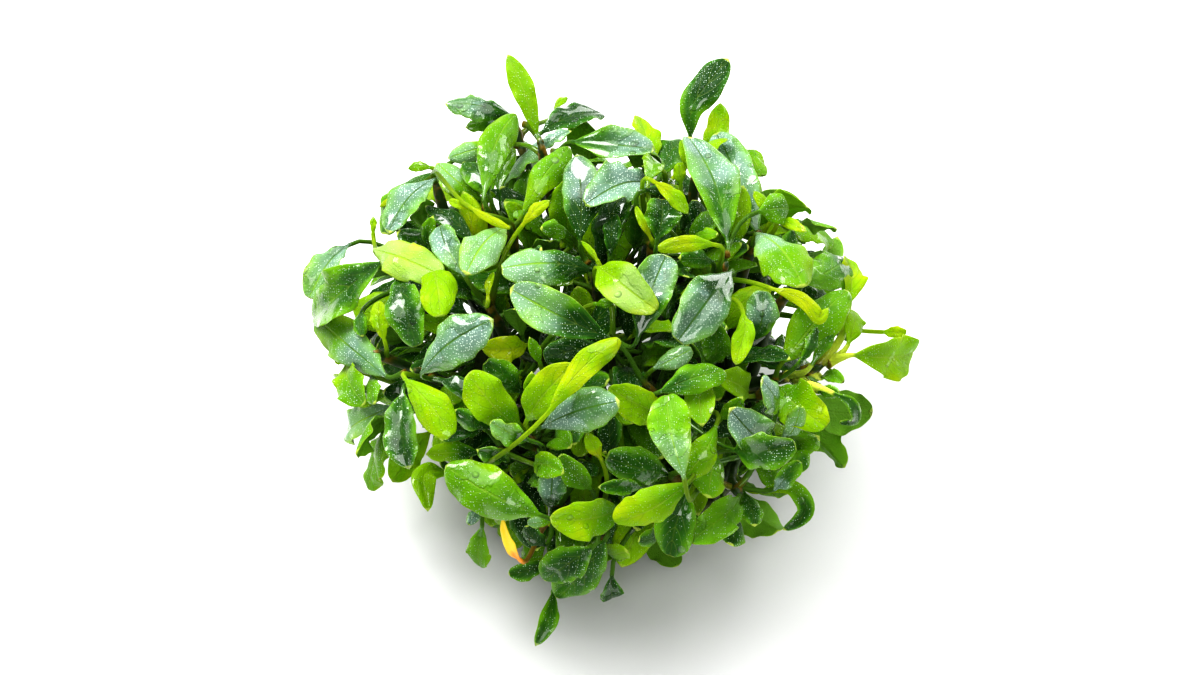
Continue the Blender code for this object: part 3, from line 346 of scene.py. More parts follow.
LEAVES = [
    leaf("OOs", 5.0, 2, (538, 137), (508, 55), name="leaf_tall_lime"),
    leaf("KSwvs", 6.4, 0, (511, 116), (446, 103), name="leaf_wavy_dark"),
    leaf("KKws", 7.6, 0, (541, 133), (603, 114)),
    leaf("DSs", 7.8, 1, (572, 142), (654, 150), name="leaf_top_pale"),
    # Painted shade: this leaf's look is darkened for the shade on the backlit top of the clump
    leaf("MBs", 7.4, 3, (484, 197), (517, 112), name="leaf_upright_bright"),
    leaf("BM", 6.4, 2, (522, 216), (571, 140)),
    leaf("KSs", 8.6, 3, (580, 240), (577, 155), name="leaf_standing_pale"),
    leaf("SSv", 9.6, 3, (652, 186), (588, 190), name="leaf_silver_top"),
    # Painted shade: this leaf's look is darkened for the shade on the backlit top of the clump
    leaf("DKs", 7.4, 2, (690, 139), (694, 105), (708, 85), (728, 58), name="leaf_tall_dark"),
    leaf("DSs", 10.6, 4, (727, 240), (688, 137), name="leaf_frosted_large"),
    leaf("SSs", 8.6, -1, (758, 235), (716, 133)),
    leaf("PBv", 11.2, 3, (757, 234), (804, 284), name="leaf_square_pale"),
    leaf("MDwv", 9.6, 2, (803, 284), (855, 249), name="leaf_wet_patched"),
    leaf("BM", 9.4, 3, (783, 362), (849, 284), name="leaf_speckled_right"),
    leaf("OLs", 9.6, 2, (853, 355), (914, 352), name="leaf_outer_right"),
    leaf("KSw", 10.0, 4, (731, 272), (684, 340), name="leaf_silver_front"),
    leaf("LV", 8.6, 4, (598, 268), (649, 309), name="leaf_lime_centre"),
    leaf("KP", 9.2, 3, (592, 270), (502, 259)),
    leaf("KP", 9.0, 4, (608, 338), (510, 289), name="leaf_two_tone"),
    leaf("VVv", 8.6, 3, (375, 250), (434, 264), name="leaf_palest_lime"),
    leaf("DMws", 11.0, 2, (382, 262), (312, 318), name="leaf_wet_outer"),
    leaf("SBv", 9.2, 2, (386, 376), (313, 316), name="leaf_split_tone"),
    leaf("SS", 9.8, 3, (422, 373), (491, 319), name="leaf_slate"),
    leaf("LL", 7.6, 3, (405, 379), (452, 434)),
    leaf("BL", 8.8, 3, (521, 428), (471, 373), name="leaf_bright_left"),
    leaf("MB", 10.2, 4, (540, 515), (443, 464), name="leaf_long_front"),
    leaf("BL", 8.2, 4, (688, 483), (615, 531), name="leaf_lime_lower"),
    leaf("PM", 8.6, 3, (684, 478), (666, 388), name="leaf_drooping_pale"),
    leaf("SS", 9.0, 1, (434, 180), (388, 232)),
    leaf("YYs", 1.8, 2, (404, 196), (380, 206)),
    leaf("BP", 7.2, 0, (482, 200), (437, 163)),
    leaf("PP", 8.4, 2, (506, 228), (466, 273)),
    leaf("PS", 6.2, 0, (465, 276), (438, 222)),
    leaf("LL", 7.8, 2, (431, 266), (441, 311)),
    leaf("DDw", 8.0, -1, (400, 276), (410, 343)),
    leaf("SPv", 7.2, 0, (349, 245), (304, 294)),
    leaf("DDw", 7.8, 1, (403, 391), (408, 468)),
    leaf("LL", 7.8, 3, (527, 420), (572, 365)),
    leaf("LLv", 5.4, 4, (548, 413), (623, 335)),
    leaf("SS", 8.8, 2, (543, 427), (618, 401)),
    leaf("KSw", 8.8, 1, (638, 338), (668, 252)),
    leaf("LY", 3.6, 4, (716, 245), (659, 250)),
    leaf("YL", 3.4, 3, (770, 288), (805, 305), (820, 319), (828, 308)),
    leaf("BLv", 9.2, 3, (778, 388), (824, 426)),
    leaf("DS", 8.4, 2, (770, 446), (731, 410)),
    leaf("LL", 7.4, 1, (658, 414), (612, 393)),
    leaf("DM", 6.6, 0, (660, 392), (727, 367)),
    leaf("BL", 8.4, 3, (617, 509), (553, 521)),
    leaf("DDs", 9.6, 1, (605, 540), (557, 598)),
    leaf("DD", 8.4, 0, (687, 490), (669, 560)),
    leaf("MB", 7.2, 1, (716, 455), (708, 496)),
    leaf("DDw", 8.0, 0, (735, 450), (793, 452)),
    leaf("BP", 4.8, -2, (502, 145), (447, 158)),
    leaf("SM", 4.4, -4, (508, 121), (466, 126)),
    leaf("LL", 3.0, -4, (555, 112), (563, 96)),
    leaf("SS", 3.6, -3, (541, 150), (570, 130)),
    leaf("DD", 6.0, -4, (489, 195), (463, 160)),
    leaf("YL", 2.0, 0, (470, 209), (448, 199)),
    leaf("YY", 1.8, 1, (470, 207), (508, 226)),
    leaf("MM", 4.0, -4, (570, 236), (542, 228)),
    leaf("YL", 2.8, -2, (522, 226), (549, 200)),
    leaf("LL", 1.4, -1, (598, 262), (582, 241)),
    leaf("KK", 4.0, -5, (610, 255), (610, 211)),
    leaf("BB", 2.0, -5, (595, 304), (613, 304)),
    leaf("DDw", 5.0, -9, (634, 246), (634, 206)),
    leaf("KK", 2.6, -4, (645, 190), (668, 192)),
    leaf("BBw", 5.0, -1, (648, 182), (656, 155)),
    leaf("LL", 1.6, 0, (658, 168), (643, 166)),
    leaf("LL", 2.8, -3, (681, 186), (680, 162)),
    leaf("YL", 3.6, 0, (653, 181), (688, 213)),
    leaf("YL", 1.8, -3, (652, 240), (634, 205)),
    leaf("DD", 7.6, -5, (657, 240), (662, 197)),
    leaf("KK", 4.0, -7, (683, 228), (680, 205)),
    leaf("LL", 5.4, -2, (706, 160), (720, 102)),
    leaf("LL", 2.4, -3, (693, 176), (681, 139)),
    leaf("BB", 6.0, -3, (734, 150), (767, 165)),
    leaf("BB", 3.6, -1, (693, 240), (716, 232)),
    leaf("DD", 4.4, -4, (712, 262), (680, 258)),
    leaf("MM", 7.2, -2, (758, 212), (791, 208)),
    leaf("LL", 3.4, -1, (776, 218), (756, 190)),
    leaf("LL", 2.6, -1, (775, 220), (806, 231)),
    leaf("LL", 6.4, -4, (850, 303), (848, 257)),
    leaf("DSw", 7.2, -1, (752, 340), (765, 294)),
    leaf("LL", 4.4, 1, (743, 312), (746, 335), (735, 363)),
    leaf("MM", 6.0, -2, (712, 362), (714, 322)),
    leaf("LL", 5.6, -3, (848, 345), (862, 305)),
    leaf("LL", 2.6, 0, (882, 332), (907, 333)),
    leaf("MM", 3.2, -2, (822, 378), (840, 378)),
    leaf("DD", 3.0, -1, (820, 392), (838, 392)),
    leaf("DD", 3.0, 0, (833, 393), (850, 403), (855, 423), (842, 434)),
    leaf("DD", 3.4, -3, (800, 362), (822, 328)),
    leaf("MM", 3.0, -4, (812, 365), (836, 328)),
    leaf("DS", 7.2, -2, (777, 412), (765, 380)),
    leaf("BB", 4.0, -1, (722, 418), (742, 398)),
    leaf("PP", 4.0, -1, (783, 436), (800, 414)),
    leaf("MM", 7.2, -2, (788, 440), (818, 437)),
    leaf("MD", 5.0, -3, (790, 450), (808, 468)),
    leaf("SD", 4.4, -3, (775, 489), (800, 465)),
    leaf("MM", 7.4, -1, (738, 498), (697, 535)),
    leaf("DD", 5.4, -3, (745, 495), (755, 525)),
    leaf("DD", 6.4, -4, (730, 512), (733, 542)),
    leaf("OD", 3.8, -2, (757, 492), (790, 493), (801, 510), (784, 532)),
    leaf("BB", 6.0, 0, (716, 426), (683, 478)),
    leaf("DDw", 7.8, -3, (668, 474), (613, 465)),
    leaf("DD", 4.4, -6, (660, 528), (640, 541)),
    leaf("PP", 4.4, -2, (655, 368), (690, 347)),
    leaf("BB", 6.4, -1, (701, 376), (702, 425)),
    leaf("KK", 6.0, -3, (600, 345), (545, 358)),
    # Painted light: this leaf's look is a bright yellow for the light that shines through it in a shaded gap
    leaf("YYw", 5.6, -8, (527, 345), (482, 348)),
    leaf("BB", 2.6, -6, (540, 363), (530, 338)),
    leaf("DDw", 5.4, -6, (470, 296), (443, 282)),
    leaf("MM", 3.4, -3, (430, 248), (432, 217)),
    leaf("LL", 1.6, -2, (488, 300), (492, 270)),
    leaf("OO", 4.6, -5, (455, 330), (423, 318)),
    leaf("OO", 2.4, -2, (432, 168), (408, 168)),
    leaf("DD", 9.0, -3, (432, 174), (378, 228)),
    leaf("LL", 1.6, -2, (373, 234), (373, 217)),
    leaf("OM", 7.6, -5, (347, 364), (360, 403)),
    leaf("MM", 4.4, -6, (372, 376), (374, 403)),
    leaf("LL", 2.4, -5, (346, 364), (335, 351)),
    leaf("DD", 3.2, -6, (362, 312), (362, 334)),
    leaf("LL", 4.0, -4, (385, 342), (376, 300)),
    leaf("DD", 5.6, -3, (520, 392), (488, 368)),
    leaf("OO", 3.0, -1, (529, 399), (532, 373)),
    leaf("DP", 5.4, -2, (528, 440), (489, 424)),
    leaf("BB", 5.4, -1, (535, 465), (561, 471)),
    leaf("DD", 4.0, -4, (505, 460), (478, 450)),
    leaf("KKw", 4.0, -3, (440, 380), (480, 393)),
    leaf("DDw", 4.0, -3, (490, 428), (455, 411)),
    leaf("MM", 5.2, -2, (590, 488), (560, 460)),
    leaf("KS", 5.8, -3, (550, 508), (552, 476)),
    leaf("BP", 2.6, -1, (552, 520), (527, 524)),
    leaf("KK", 4.0, -3, (545, 545), (527, 530)),
    leaf("YY", 2.4, 0, (520, 560), (500, 522), name="leaf_dying"),
    leaf("MB", 5.4, -1, (482, 526), (477, 570)),
    leaf("SS", 2.6, -3, (478, 508), (471, 523)),
    leaf("DD", 4.0, -2, (548, 560), (508, 575)),
    leaf("DO", 4.8, -6, (480, 453), (427, 455)),
    leaf("OO", 5.0, -5, (452, 476), (425, 480), (428, 510)),
    leaf("DD", 3.6, -3, (640, 487), (600, 489)),
    leaf("DDs", 8.8, -2, (592, 548), (545, 580)),
    leaf("MO", 5.6, -3, (605, 545), (626, 552)),
    leaf("KK", 5.0, -3, (612, 575), (616, 605)),
    leaf("DDs", 4.0, 0, (553, 592), (536, 645)),
    leaf("YO", 3.2, -4, (601, 459), (587, 434)),
    leaf("KK", 4.8, -6, (610, 455), (608, 412)),
]

# Each shoot's crowns, by pixel. The second and third crown of a shoot fork off its first stem.
SHOOTS = {
    "shoot_top": [(540, 140), (514, 122)],
    "shoot_tall": [(700, 148)],
    "shoot_top_right": [(665, 188), (652, 244)],
    "shoot_upper_left": [(484, 202), (512, 226)],
    "shoot_left_shoulder": [(434, 178)],
    "shoot_left": [(385, 260)],
    "shoot_lower_left": [(415, 370), (372, 352)],
    "shoot_centre_left": [(487, 302), (540, 352)],
    "shoot_centre": [(596, 268), (612, 340)],
    "shoot_brown_crown": [(727, 262)],
    "shoot_right_shoulder": [(760, 230)],
    "shoot_right": [(792, 288), (748, 332)],
    "shoot_pale_petioles": [(822, 366)],
    "shoot_right_low": [(777, 392)],
    "shoot_lower_right": [(762, 450), (740, 494)],
    "shoot_front_right": [(690, 484)],
    "shoot_middle_right": [(664, 400)],
    "shoot_front_middle": [(530, 430), (498, 450)],
    "shoot_front_left": [(456, 480)],
    "shoot_front": [(550, 520)],
    "shoot_front_low": [(602, 540)],
}
SHALLOW_CROWNS = {
    "shoot_brown_crown": 8.0,
    "shoot_left": 9.0,
    "shoot_pale_petioles": 9.0,
    "shoot_lower_left": 10.0,
}

# The rhizomes' routes through the clump's core
RHIZOMES = {
    "rhizome_across": [(-33, 6, 20), (-14, -2, 25), (8, -3, 26), (33, 4, 21)],
    "rhizome_front": [(-14, -31, 15), (-3, -20, 17), (4, -9, 16), (2, 10, 15), (-6, 32, 18)],
    "rhizome_right": [(20, -24, 15), (27, -10, 13), (27, 8, 13), (13, 28, 16)],
    "rhizome_left": [(-25, -14, 14), (-29, 0, 13), (-26, 14, 13), (-18, 30, 16)],
}


def unit(vector):
    return vector / np.linalg.norm(vector)


def run_of(points):
    """The length of a path of straight steps."""
    return np.linalg.norm(np.diff(points, axis=0), axis=1).sum()


def view_axes():
    """The photo's right, up and forward directions."""
    lean = PHOTO_ELEVATION
    right = np.array([1.0, 0.0, 0.0])
    up = np.array([0.0, math.sin(lean), math.cos(lean)])
    forward = np.array([0.0, math.cos(lean), -math.sin(lean)])
    return right, up, forward


RIGHT, UP, FORWARD = view_axes()
AIM = DOME_CENTRE + UP * (PHOTO_OF_DOME_CENTRE - PHOTO_MIDDLE)[1] * MM_PER_PIXEL
EYE = AIM - FORWARD * PHOTO_DISTANCE


def sight_line(pixel):
    """Direction from the eye through a pixel, one millimetre long along the view's axis."""
    across, down = (pixel - PHOTO_MIDDLE) * MM_PER_PIXEL / PHOTO_DISTANCE
    return FORWARD + RIGHT * across - UP * down


def dome_depth(pixel):
    """How far along its sight line a pixel meets the dome, or passes nearest to it."""
    start = (EYE - DOME_CENTRE) / DOME_HALF
    way = sight_line(pixel) / DOME_HALF
    nearest = -start @ way / (way @ way)
    spare = nearest**2 - (start @ start - 1) / (way @ way)
    return nearest - math.sqrt(max(spare, 0.0))


def at_depth(pixel, depth):
    """The point at that depth on the pixel's sight line, or nearer where that is under the ground."""
    way = sight_line(pixel)
    point = EYE + way * depth
    short = LOWEST - point[2]
    return point + way * (short / way[2]) if short > 0 else point


def along(points, share):
    """Points at the given shares of a smooth curve's length (cubic Hermite spans through the points)."""
    points = np.asarray(points, float)
    share = np.asarray(share, float)
    steps = np.linalg.norm(np.diff(points, axis=0), axis=1)
    knots = np.concatenate([[0.0], np.cumsum(steps)]) / steps.sum()
    slopes = np.gradient(points, knots, axis=0)
    span = np.clip(np.searchsorted(knots, share, side="right") - 1, 0, len(points) - 2)
    width = (knots[span + 1] - knots[span])[:, None]
    t = (share - knots[span])[:, None] / width
    return (
        (2 * t**3 - 3 * t**2 + 1) * points[span]
        + (t**3 - 2 * t**2 + t) * width * slopes[span]
        + (3 * t**2 - 2 * t**3) * points[span + 1]
        + (t**3 - t**2) * width * slopes[span + 1]
    )


def cubic(start, first, last, end, count):
    """Points along a cubic curve that runs from start towards first, and comes from last to end."""
    t = np.linspace(0.0, 1.0, count)[:, None]
    weights = ((1 - t) ** 3, 3 * (1 - t) ** 2 * t, 3 * (1 - t) * t**2, t**3)
    return sum(weight * corner for weight, corner in zip(weights, (start, first, last, end)))


def outward(point):
    """The dome's outward direction at a point."""
    return unit((point - DOME_CENTRE) / DOME_HALF**2)


def facing_of(points, share_to_eye, roll):
    """The way that a blade's upper face looks, square to its chord and rolled about it by some degrees."""
    chord = unit(points[-1] - points[0])
    middle = points[len(points) // 2]
    facing = unit(EYE - middle) * share_to_eye + outward(middle) * (1 - share_to_eye)
    facing = unit(facing - chord * (facing @ chord))
    angle = math.radians(roll)
    return facing * math.cos(angle) + np.cross(chord, facing) * math.sin(angle)


def seen_blade(one, tip_nearer, base_nearer, roll):
    """A photographed blade's points, facing and half width.

    The tip lies on the dome or its lift above it. The base is as deep as gives the blade its usual length
    for its width, within the limits of BURIAL."""
    base, tip = one.route[0], one.route[-1]
    tip_depth = dome_depth(tip) - one.lift
    seen = np.linalg.norm(tip - base) * MM_PER_PIXEL
    rise = math.sqrt(max((BLADE_RATIO * one.wide) ** 2 - seen**2, 0.0))
    least, usual, most = (dome_depth(base) - one.lift + burial for burial in BURIAL)
    base_depth = min((tip_depth + rise, tip_depth - rise), key=lambda depth: abs(depth - usual))
    base_depth = min(max(base_depth, least), most)
    points = []
    for pixel in one.route:
        share = min(np.linalg.norm(pixel - base) / np.linalg.norm(tip - base), 1.0)
        depth = base_depth - base_nearer + share * (tip_depth - tip_nearer - base_depth + base_nearer)
        points.append(at_depth(pixel, depth))
    points = np.array(points)
    return points, facing_of(points, TOWARDS_EYE, roll), one.wide / 2


def blade_frame(points, facing, share):
    """Centre points, side directions and face directions at the given shares of a blade's length."""
    length = run_of(points)
    bow = (4 * BLADE_ARCH * length * share * (1 - share))[:, None] * facing
    centre = along(points, share) + bow
    ahead = along(points, np.minimum(share + NEARBY, 1.0)) - along(points, np.maximum(share - NEARBY, 0.0))
    ahead += (4 * BLADE_ARCH * length * (1 - 2 * share) * 2 * NEARBY)[:, None] * facing
    ahead /= np.linalg.norm(ahead, axis=1)[:, None]
    side = np.cross(ahead, facing)
    side /= np.linalg.norm(side, axis=1)[:, None]
    return centre, side, np.cross(side, ahead)


def blade_width(share):
    """A blade's width over its greatest: an oval a little wider past its middle, drawn out to the tip."""
    return np.sin(math.pi * share**OVAL_SHIFT) ** OVAL_FULLNESS


def blade_rings(points, facing, half_width, stations, spare=0.0):
    """Rings of four points around a blade: left margin, lower face, right margin and upper face."""
    share = np.asarray(stations, float)
    centre, side, face = blade_frame(points, facing, share)
    half = np.maximum(half_width * blade_width(share), PETIOLE_RADIUS * (1 - share))[:, None] + spare
    thick = np.maximum(BLADE_THICK / 2, PETIOLE_RADIUS * (1 - PETIOLE_FADE * share))[:, None] + spare
    raised = centre + face * half * BLADE_FOLD
    left, right = raised - side * half, raised + side * half
    return np.stack([left, centre - face * thick, right, centre + face * thick], axis=1)


def tube_rings(points, radii, sides, across):
    """Rings around a path, each square to it and turned as little as can be from the ring before."""
    ways = np.gradient(np.asarray(points, float), axis=0)
    turn = np.arange(sides) * 2 * math.pi / sides
    rings = []
    for point, way, radius in zip(points, ways, radii):
        way = unit(way)
        side = np.cross(way, across)
        if np.linalg.norm(side) < PARALLEL:
            side = np.cross(way, RIGHT)
        side = unit(side)
        across = np.cross(side, way)
        ring = np.cos(turn)[:, None] * side + np.sin(turn)[:, None] * across
        rings.append(point + radius * ring)
    return np.array(rings)


def petiole_line(start, first_way, placed, share, count):
    """One cubic from a stem to a blade: it leaves along first_way and ends in the blade's own line."""
    centre, _, _ = blade_frame(placed.points, placed.facing, np.array([0.0, BLADE_START]))
    end = placed.points[0]
    reach = np.linalg.norm(end - start) * share
    last = end - unit(centre[1] - centre[0]) * reach
    return cubic(start, start + first_way * reach, last, end, count)


def petiole_path(placed, fused):
    """The path of a petiole's solid: straight where it is fused, and square to its stem where it isn't."""
    start, first_way = petiole_start(placed, fused)
    if fused:
        return np.array([start, placed.points[0]])
    return petiole_line(start, first_way, placed, PETIOLE_REACH, PETIOLE_RINGS + 1)


def petiole_start(placed, fused):
    """Where a petiole leaves its stem, and its first direction, square to the stem.

    A fused one starts on the stem's axis."""
    crown = placed.crown
    foot, way = stem_point(crown, placed.step)
    out = placed.points[0] - foot
    out = out - way * (out @ way)
    if np.linalg.norm(out) < ON_AXIS:
        out = np.cross(way, RIGHT)
    out = unit(out)
    if fused:
        return foot, out
    return foot + out * (STEM_RADIUS + 2 * GAP), out


def stem_point(crown, step):
    """The point on a crown's stem that a leaf grows from, and the stem's direction there."""
    from_tip = FIRST_LEAF + LEAF_STEP * step
    stem = crown.stem
    length = run_of(stem)
    share = 1 - min(from_tip / length, LOWEST_LEAF)
    here, ahead = along(stem, np.array([share, min(share + STEM_NEARBY, 1.0)]))
    return here, unit(ahead - here)


def ring_faces(rings, tip=None):
    """Vertices and triangles of the closed skin over a stack of rings, ended by a cap or a tip."""
    count, around = rings.shape[:2]
    vertices = [*rings.reshape(-1, 3)]
    faces = []
    for ring, corner in itertools.product(range(count - 1), range(around)):
        a = ring * around + corner
        b = ring * around + (corner + 1) % around
        faces += [(a, b, b + around), (a, b + around, a + around)]
    faces += [(0, corner + 1, corner) for corner in range(1, around - 1)]
    last = (count - 1) * around
    if tip is None:
        faces += [(last, last + corner, last + corner + 1) for corner in range(1, around - 1)]
    else:
        faces += [(last + corner, last + (corner + 1) % around, len(vertices)) for corner in range(around)]
        vertices.append(tip)
    return vertices, faces


class Room:
    """The solids placed so far, asked whether a new one would be clear of them."""

    def __init__(self):
        self.solids = []

    @staticmethod
    def solid(rings, tip=None):
        vertices, faces = ring_faces(rings, tip)
        points = np.array(vertices)
        tree = BVHTree.FromPolygons([Vector(v) for v in vertices], faces, all_triangles=True)
        return tree, points.min(axis=0), points.max(axis=0)

    def add(self, kind, owner, rings, tip=None):
        self.solids.append((kind, owner, *self.solid(rings, tip)))

    def clear(self, rings, tip=None, passed=()):
        """Whether nothing is met, not counting (kind, owner) pairs in passed."""
        tree, low, high = self.solid(rings, tip)
        for kind, owner, other, other_low, other_high in self.solids:
            if (low > other_high).any() or (high < other_low).any() or (kind, owner) in passed:
                continue
            if tree.overlap(other):
                return False
        return True


def seen_choices(one):
    """Ways to lay a photographed leaf that look alike to the photo's eye, the smallest change first."""
    choices = [
        (abs(tip) + BASE_SHIFT_COST * abs(base) + abs(roll) / DEGREES_PER_COST, -tip, -base, roll)
        for tip, base, roll in itertools.product(SHIFTS, SHIFTS, ROLLS)
        if abs(tip - base) <= MOST_TILT
    ]
    for _, tip, base, roll in sorted(choices):
        yield seen_blade(one, tip, base, roll)


def petiole_cost(crown_point, points):
    """How far a petiole would run from a crown to a blade, and more where it would have to turn back."""
    run = points[0] - crown_point
    return PETIOLE_TURN_COST * np.linalg.norm(run) - run @ unit(points[-1] - points[0])


def place_leaf(room, crowns, steps, choices, one, fused):
    """The first way to lay a leaf that is clear of everything, with the crown and step it grows from."""
    for points, facing, half_width in choices:
        blade = blade_rings(points, facing, half_width, ROUGH_BLADE, CLEARANCE)
        if not room.clear(blade):
            continue
        near = sorted(range(len(crowns)), key=lambda n: petiole_cost(crowns[n].point, points))
        for number in near[:NEAR_CROWNS]:
            crown = crowns[number]
            free = [step for step in range(LEAF_STEPS) if step not in steps[number]]
            for step in free[:NEAR_STEPS]:
                placed = Placed(one, points, facing, crown, step, half_width)
                path = petiole_path(placed, fused)
                if path[:, 2].min() < LOWEST:
                    continue
                wide = tube_rings(path, [PETIOLE_RADIUS + CLEARANCE] * len(path), 4, facing)
                slim = tube_rings(path, [PETIOLE_RADIUS] * len(path), 4, facing)
                own = {("stem", crown.key), ("petiole", crown.shoot)} if fused else set()
                if not room.clear(wide if fused else wide[1:], passed=own):
                    continue
                if not room.clear(slim, passed=own):
                    continue
                steps[number].add(step)
                room.add("blade", None, blade_rings(points, facing, half_width, ROUGH_BLADE))
                room.add("petiole", crown.shoot if fused else None, slim)
                return placed
    return None


def stem_path(foot, first_way, crown_point, last_way):
    """A stem's path: one cubic from its foot on a rhizome, or from its fork, to its crown."""
    reach = np.linalg.norm(crown_point - foot) * STEM_REACH
    return cubic(foot, foot + first_way * reach, crown_point - last_way * reach, crown_point, STEM_RINGS)


def stem_rings(path, foot_radius, spare=0.0):
    """A stem's rings. A fork's foot is slimmer, so that it stays inside the stem that it leaves."""
    radii = np.linspace(foot_radius, STEM_RADIUS, len(path)) + spare
    return tube_rings(path, radii, STEM_SIDES, STEM_SIDE)


def feet(rhizome_paths, crown_point):
    """Places on the rhizomes where a stem could start, the nearest to its crown first."""
    places = []
    for path in rhizome_paths:
        share = np.linspace(*FOOT_SPAN, FOOT_CHOICES)
        ahead = np.gradient(along(path, share), axis=0)
        for middle, way in zip(along(path, share), ahead):
            out = crown_point - middle
            out = unit(out - unit(way) * (out @ unit(way)))
            foot = middle + out * (RHIZOME_RADIUS + GAP)
            places.append((np.linalg.norm(crown_point - foot), foot, out))
    return sorted(places, key=lambda place: place[0])


def fork(stem, share, crown_point):
    """A point on a stem's axis where another may fork off, and its way out: aside and a little up."""
    here, ahead = along(stem, np.array([share, share + FORK_NEARBY]))
    way = unit(ahead - here)
    out = crown_point - here
    return here, unit(unit(out - way * (out @ way)) + FORK_RISE * way)


def grow_shoot(room, rhizome_paths, shoot, crown_points):
    """A shoot's crowns on their stems. The first stem starts on a rhizome and the others fork off it."""
    crowns = []
    for point in crown_points:
        last_way = unit(outward(point) + STEM_UPRIGHT * UPWARDS)
        if not crowns:
            starts = [(foot, out) for _, foot, out in feet(rhizome_paths, point)]
        else:
            starts = [fork(crowns[0].stem, share, point) for share in FORKS]
        for foot, out in starts:
            path = stem_path(foot, out, point, last_way)
            too_low = path[:, 2].min() < LOWEST + STEM_FOOT_RADIUS
            if too_low or np.linalg.norm(point - foot) < SHORTEST_STEM:
                continue
            forked = {("stem", crowns[0].key)} if crowns else set()
            foot_radius = FORK_FOOT_RADIUS if crowns else STEM_FOOT_RADIUS
            if not room.clear(stem_rings(path, foot_radius), passed=forked):
                continue
            beside = forked | {("rhizome", None)}
            if not room.clear(stem_rings(path, foot_radius, CLEARANCE), passed=beside):
                continue
            key = f"{shoot} {len(crowns)}"
            room.add("stem", key, stem_rings(path, foot_radius))
            crowns.append(Crown(shoot, key, point, path))
            break
    return crowns


def seen_crowns(shoot):
    """A photographed shoot's crown points, under the dome by their depth but not past the dome's middle."""
    depth = SHALLOW_CROWNS.get(shoot, CROWN_DEPTH)
    points = []
    for pixel in SHOOTS[shoot]:
        pixel = np.array(pixel, float)
        near = dome_depth(pixel)
        way = sight_line(pixel)
        middle = (DOME_CENTRE - EYE) @ way / (way @ way)
        point = at_depth(pixel, min(near + depth, max(middle, near)))
        point[2] = max(point[2], LOWEST + STEM_FOOT_RADIUS + CROWN_ROOM)
        points.append(point)
    return points


def hidden_crowns():
    """Crown points on the side of the dome that the photo doesn't show, in threes for one shoot each.

    The golden angle spreads them evenly over the dome."""
    found = []
    for number in range(HIDDEN_CROWNS):
        rise = 1 - 2 * (number + 0.5) / HIDDEN_CROWNS
        turn = number * GOLDEN_ANGLE
        flat = math.sqrt(1 - rise * rise)
        way = np.array([flat * math.cos(turn), flat * math.sin(turn), rise])
        point = DOME_CENTRE + way * DOME_HALF * HIDDEN_CROWN_REACH
        if outward(DOME_CENTRE + way * DOME_HALF) @ FORWARD > HIDDEN_FROM and point[2] > HIDDEN_LOWEST:
            found.append(point)
    found.sort(key=lambda point: math.atan2(point[1], point[0]))
    return [found[n : n + 3] for n in range(0, len(found), 3)]


def hidden_choices(draw, crown_point, number):
    """Ways to lay a leaf that the photo doesn't show, fanned out of its crown to the dome's skin."""
    out = outward(crown_point)
    across = unit(np.cross(out, HIDDEN_LEAN_AXIS))
    beside = np.cross(out, across)
    start_turn = number * GOLDEN_ANGLE + draw.uniform(-HIDDEN_START, HIDDEN_START)
    spread = draw.uniform(*HIDDEN_SPREAD)
    wide = draw.uniform(*HIDDEN_WIDE)
    lift = draw.uniform(*HIDDEN_LIFT)
    rise = UPWARDS * (crown_point[2] - DOME_CENTRE[2]) / HIDDEN_RISE_OVER
    changes = itertools.product(HIDDEN_TURNS, HIDDEN_SINKS, HIDDEN_LEANS)
    for turn, sink, lean in sorted(changes, key=hidden_change_cost):
        angle = start_turn + math.radians(turn)
        aside = across * math.cos(angle) + beside * math.sin(angle)
        base = crown_point + out * HIDDEN_BASE_OUT + aside * HIDDEN_BASE_ASIDE * spread
        way = unit(out * (1.0 - HIDDEN_INWARD * spread + lean) + aside * HIDDEN_ASIDE * spread + rise)
        tip = base + way * wide * BLADE_RATIO * HIDDEN_LENGTH
        size = np.linalg.norm((tip - DOME_CENTRE) / DOME_HALF)
        tip = DOME_CENTRE + (tip - DOME_CENTRE) / size * min(size, 1.0) + out * (lift - sink)
        tip[2] = max(tip[2], LOWEST)
        base[2] = max(base[2], LOWEST + 1)
        chord = unit(tip - base)
        facing = outward((base + tip) / 2) + HIDDEN_FACING_UP - aside * HIDDEN_CUPPED
        facing = unit(facing - chord * (facing @ chord))
        length = np.linalg.norm(tip - base)
        yield np.array([base, tip]), facing, min(wide, length / HIDDEN_LEAST_RATIO) / 2


def hidden_change_cost(change):
    """How much a change of turn, sink and lean alters a hidden leaf, so that the least is tried first."""
    turn, sink, lean = change
    return abs(turn) / 12 + abs(sink) / 1.5 + abs(lean) * 4


def root_mat():
    """A low mound of matted roots with a flat underside: rings of a lumpy disc, from its foot up."""
    turn = np.arange(ROOT_MAT_SIDES) * 2 * math.pi / ROOT_MAT_SIDES
    rings = []
    for level, reach in ROOT_MAT_PROFILE:
        lumps = 1.0
        for size, count, start, twist in ROOT_MAT_LUMPS:
            lumps = lumps + size * np.sin(count * turn + start + twist * level)
        radius = ROOT_MAT_RADIUS * reach * lumps
        height = np.full(len(turn), ROOT_MAT_TALL * level)
        rings.append(np.stack([radius * np.cos(turn), radius * np.sin(turn), height], axis=1))
    return np.array(rings)


def tiny_blade(one):
    """A narrow young leaf's points, facing and half width, with no search: it lies where the photo has it."""
    return seen_blade(one, 0.0, 0.0, 0.0)


def stem_sites(crowns):
    """Points on all stems that an inner leaf may grow from, with the stem's direction there."""
    sites = []
    for crown in crowns:
        for share in np.linspace(*INNER_SITE_SPAN, INNER_SITES):
            here, ahead = along(crown.stem, np.array([share, share + STEM_NEARBY]))
            sites.append((crown, here, unit(ahead - here)))
    return sites


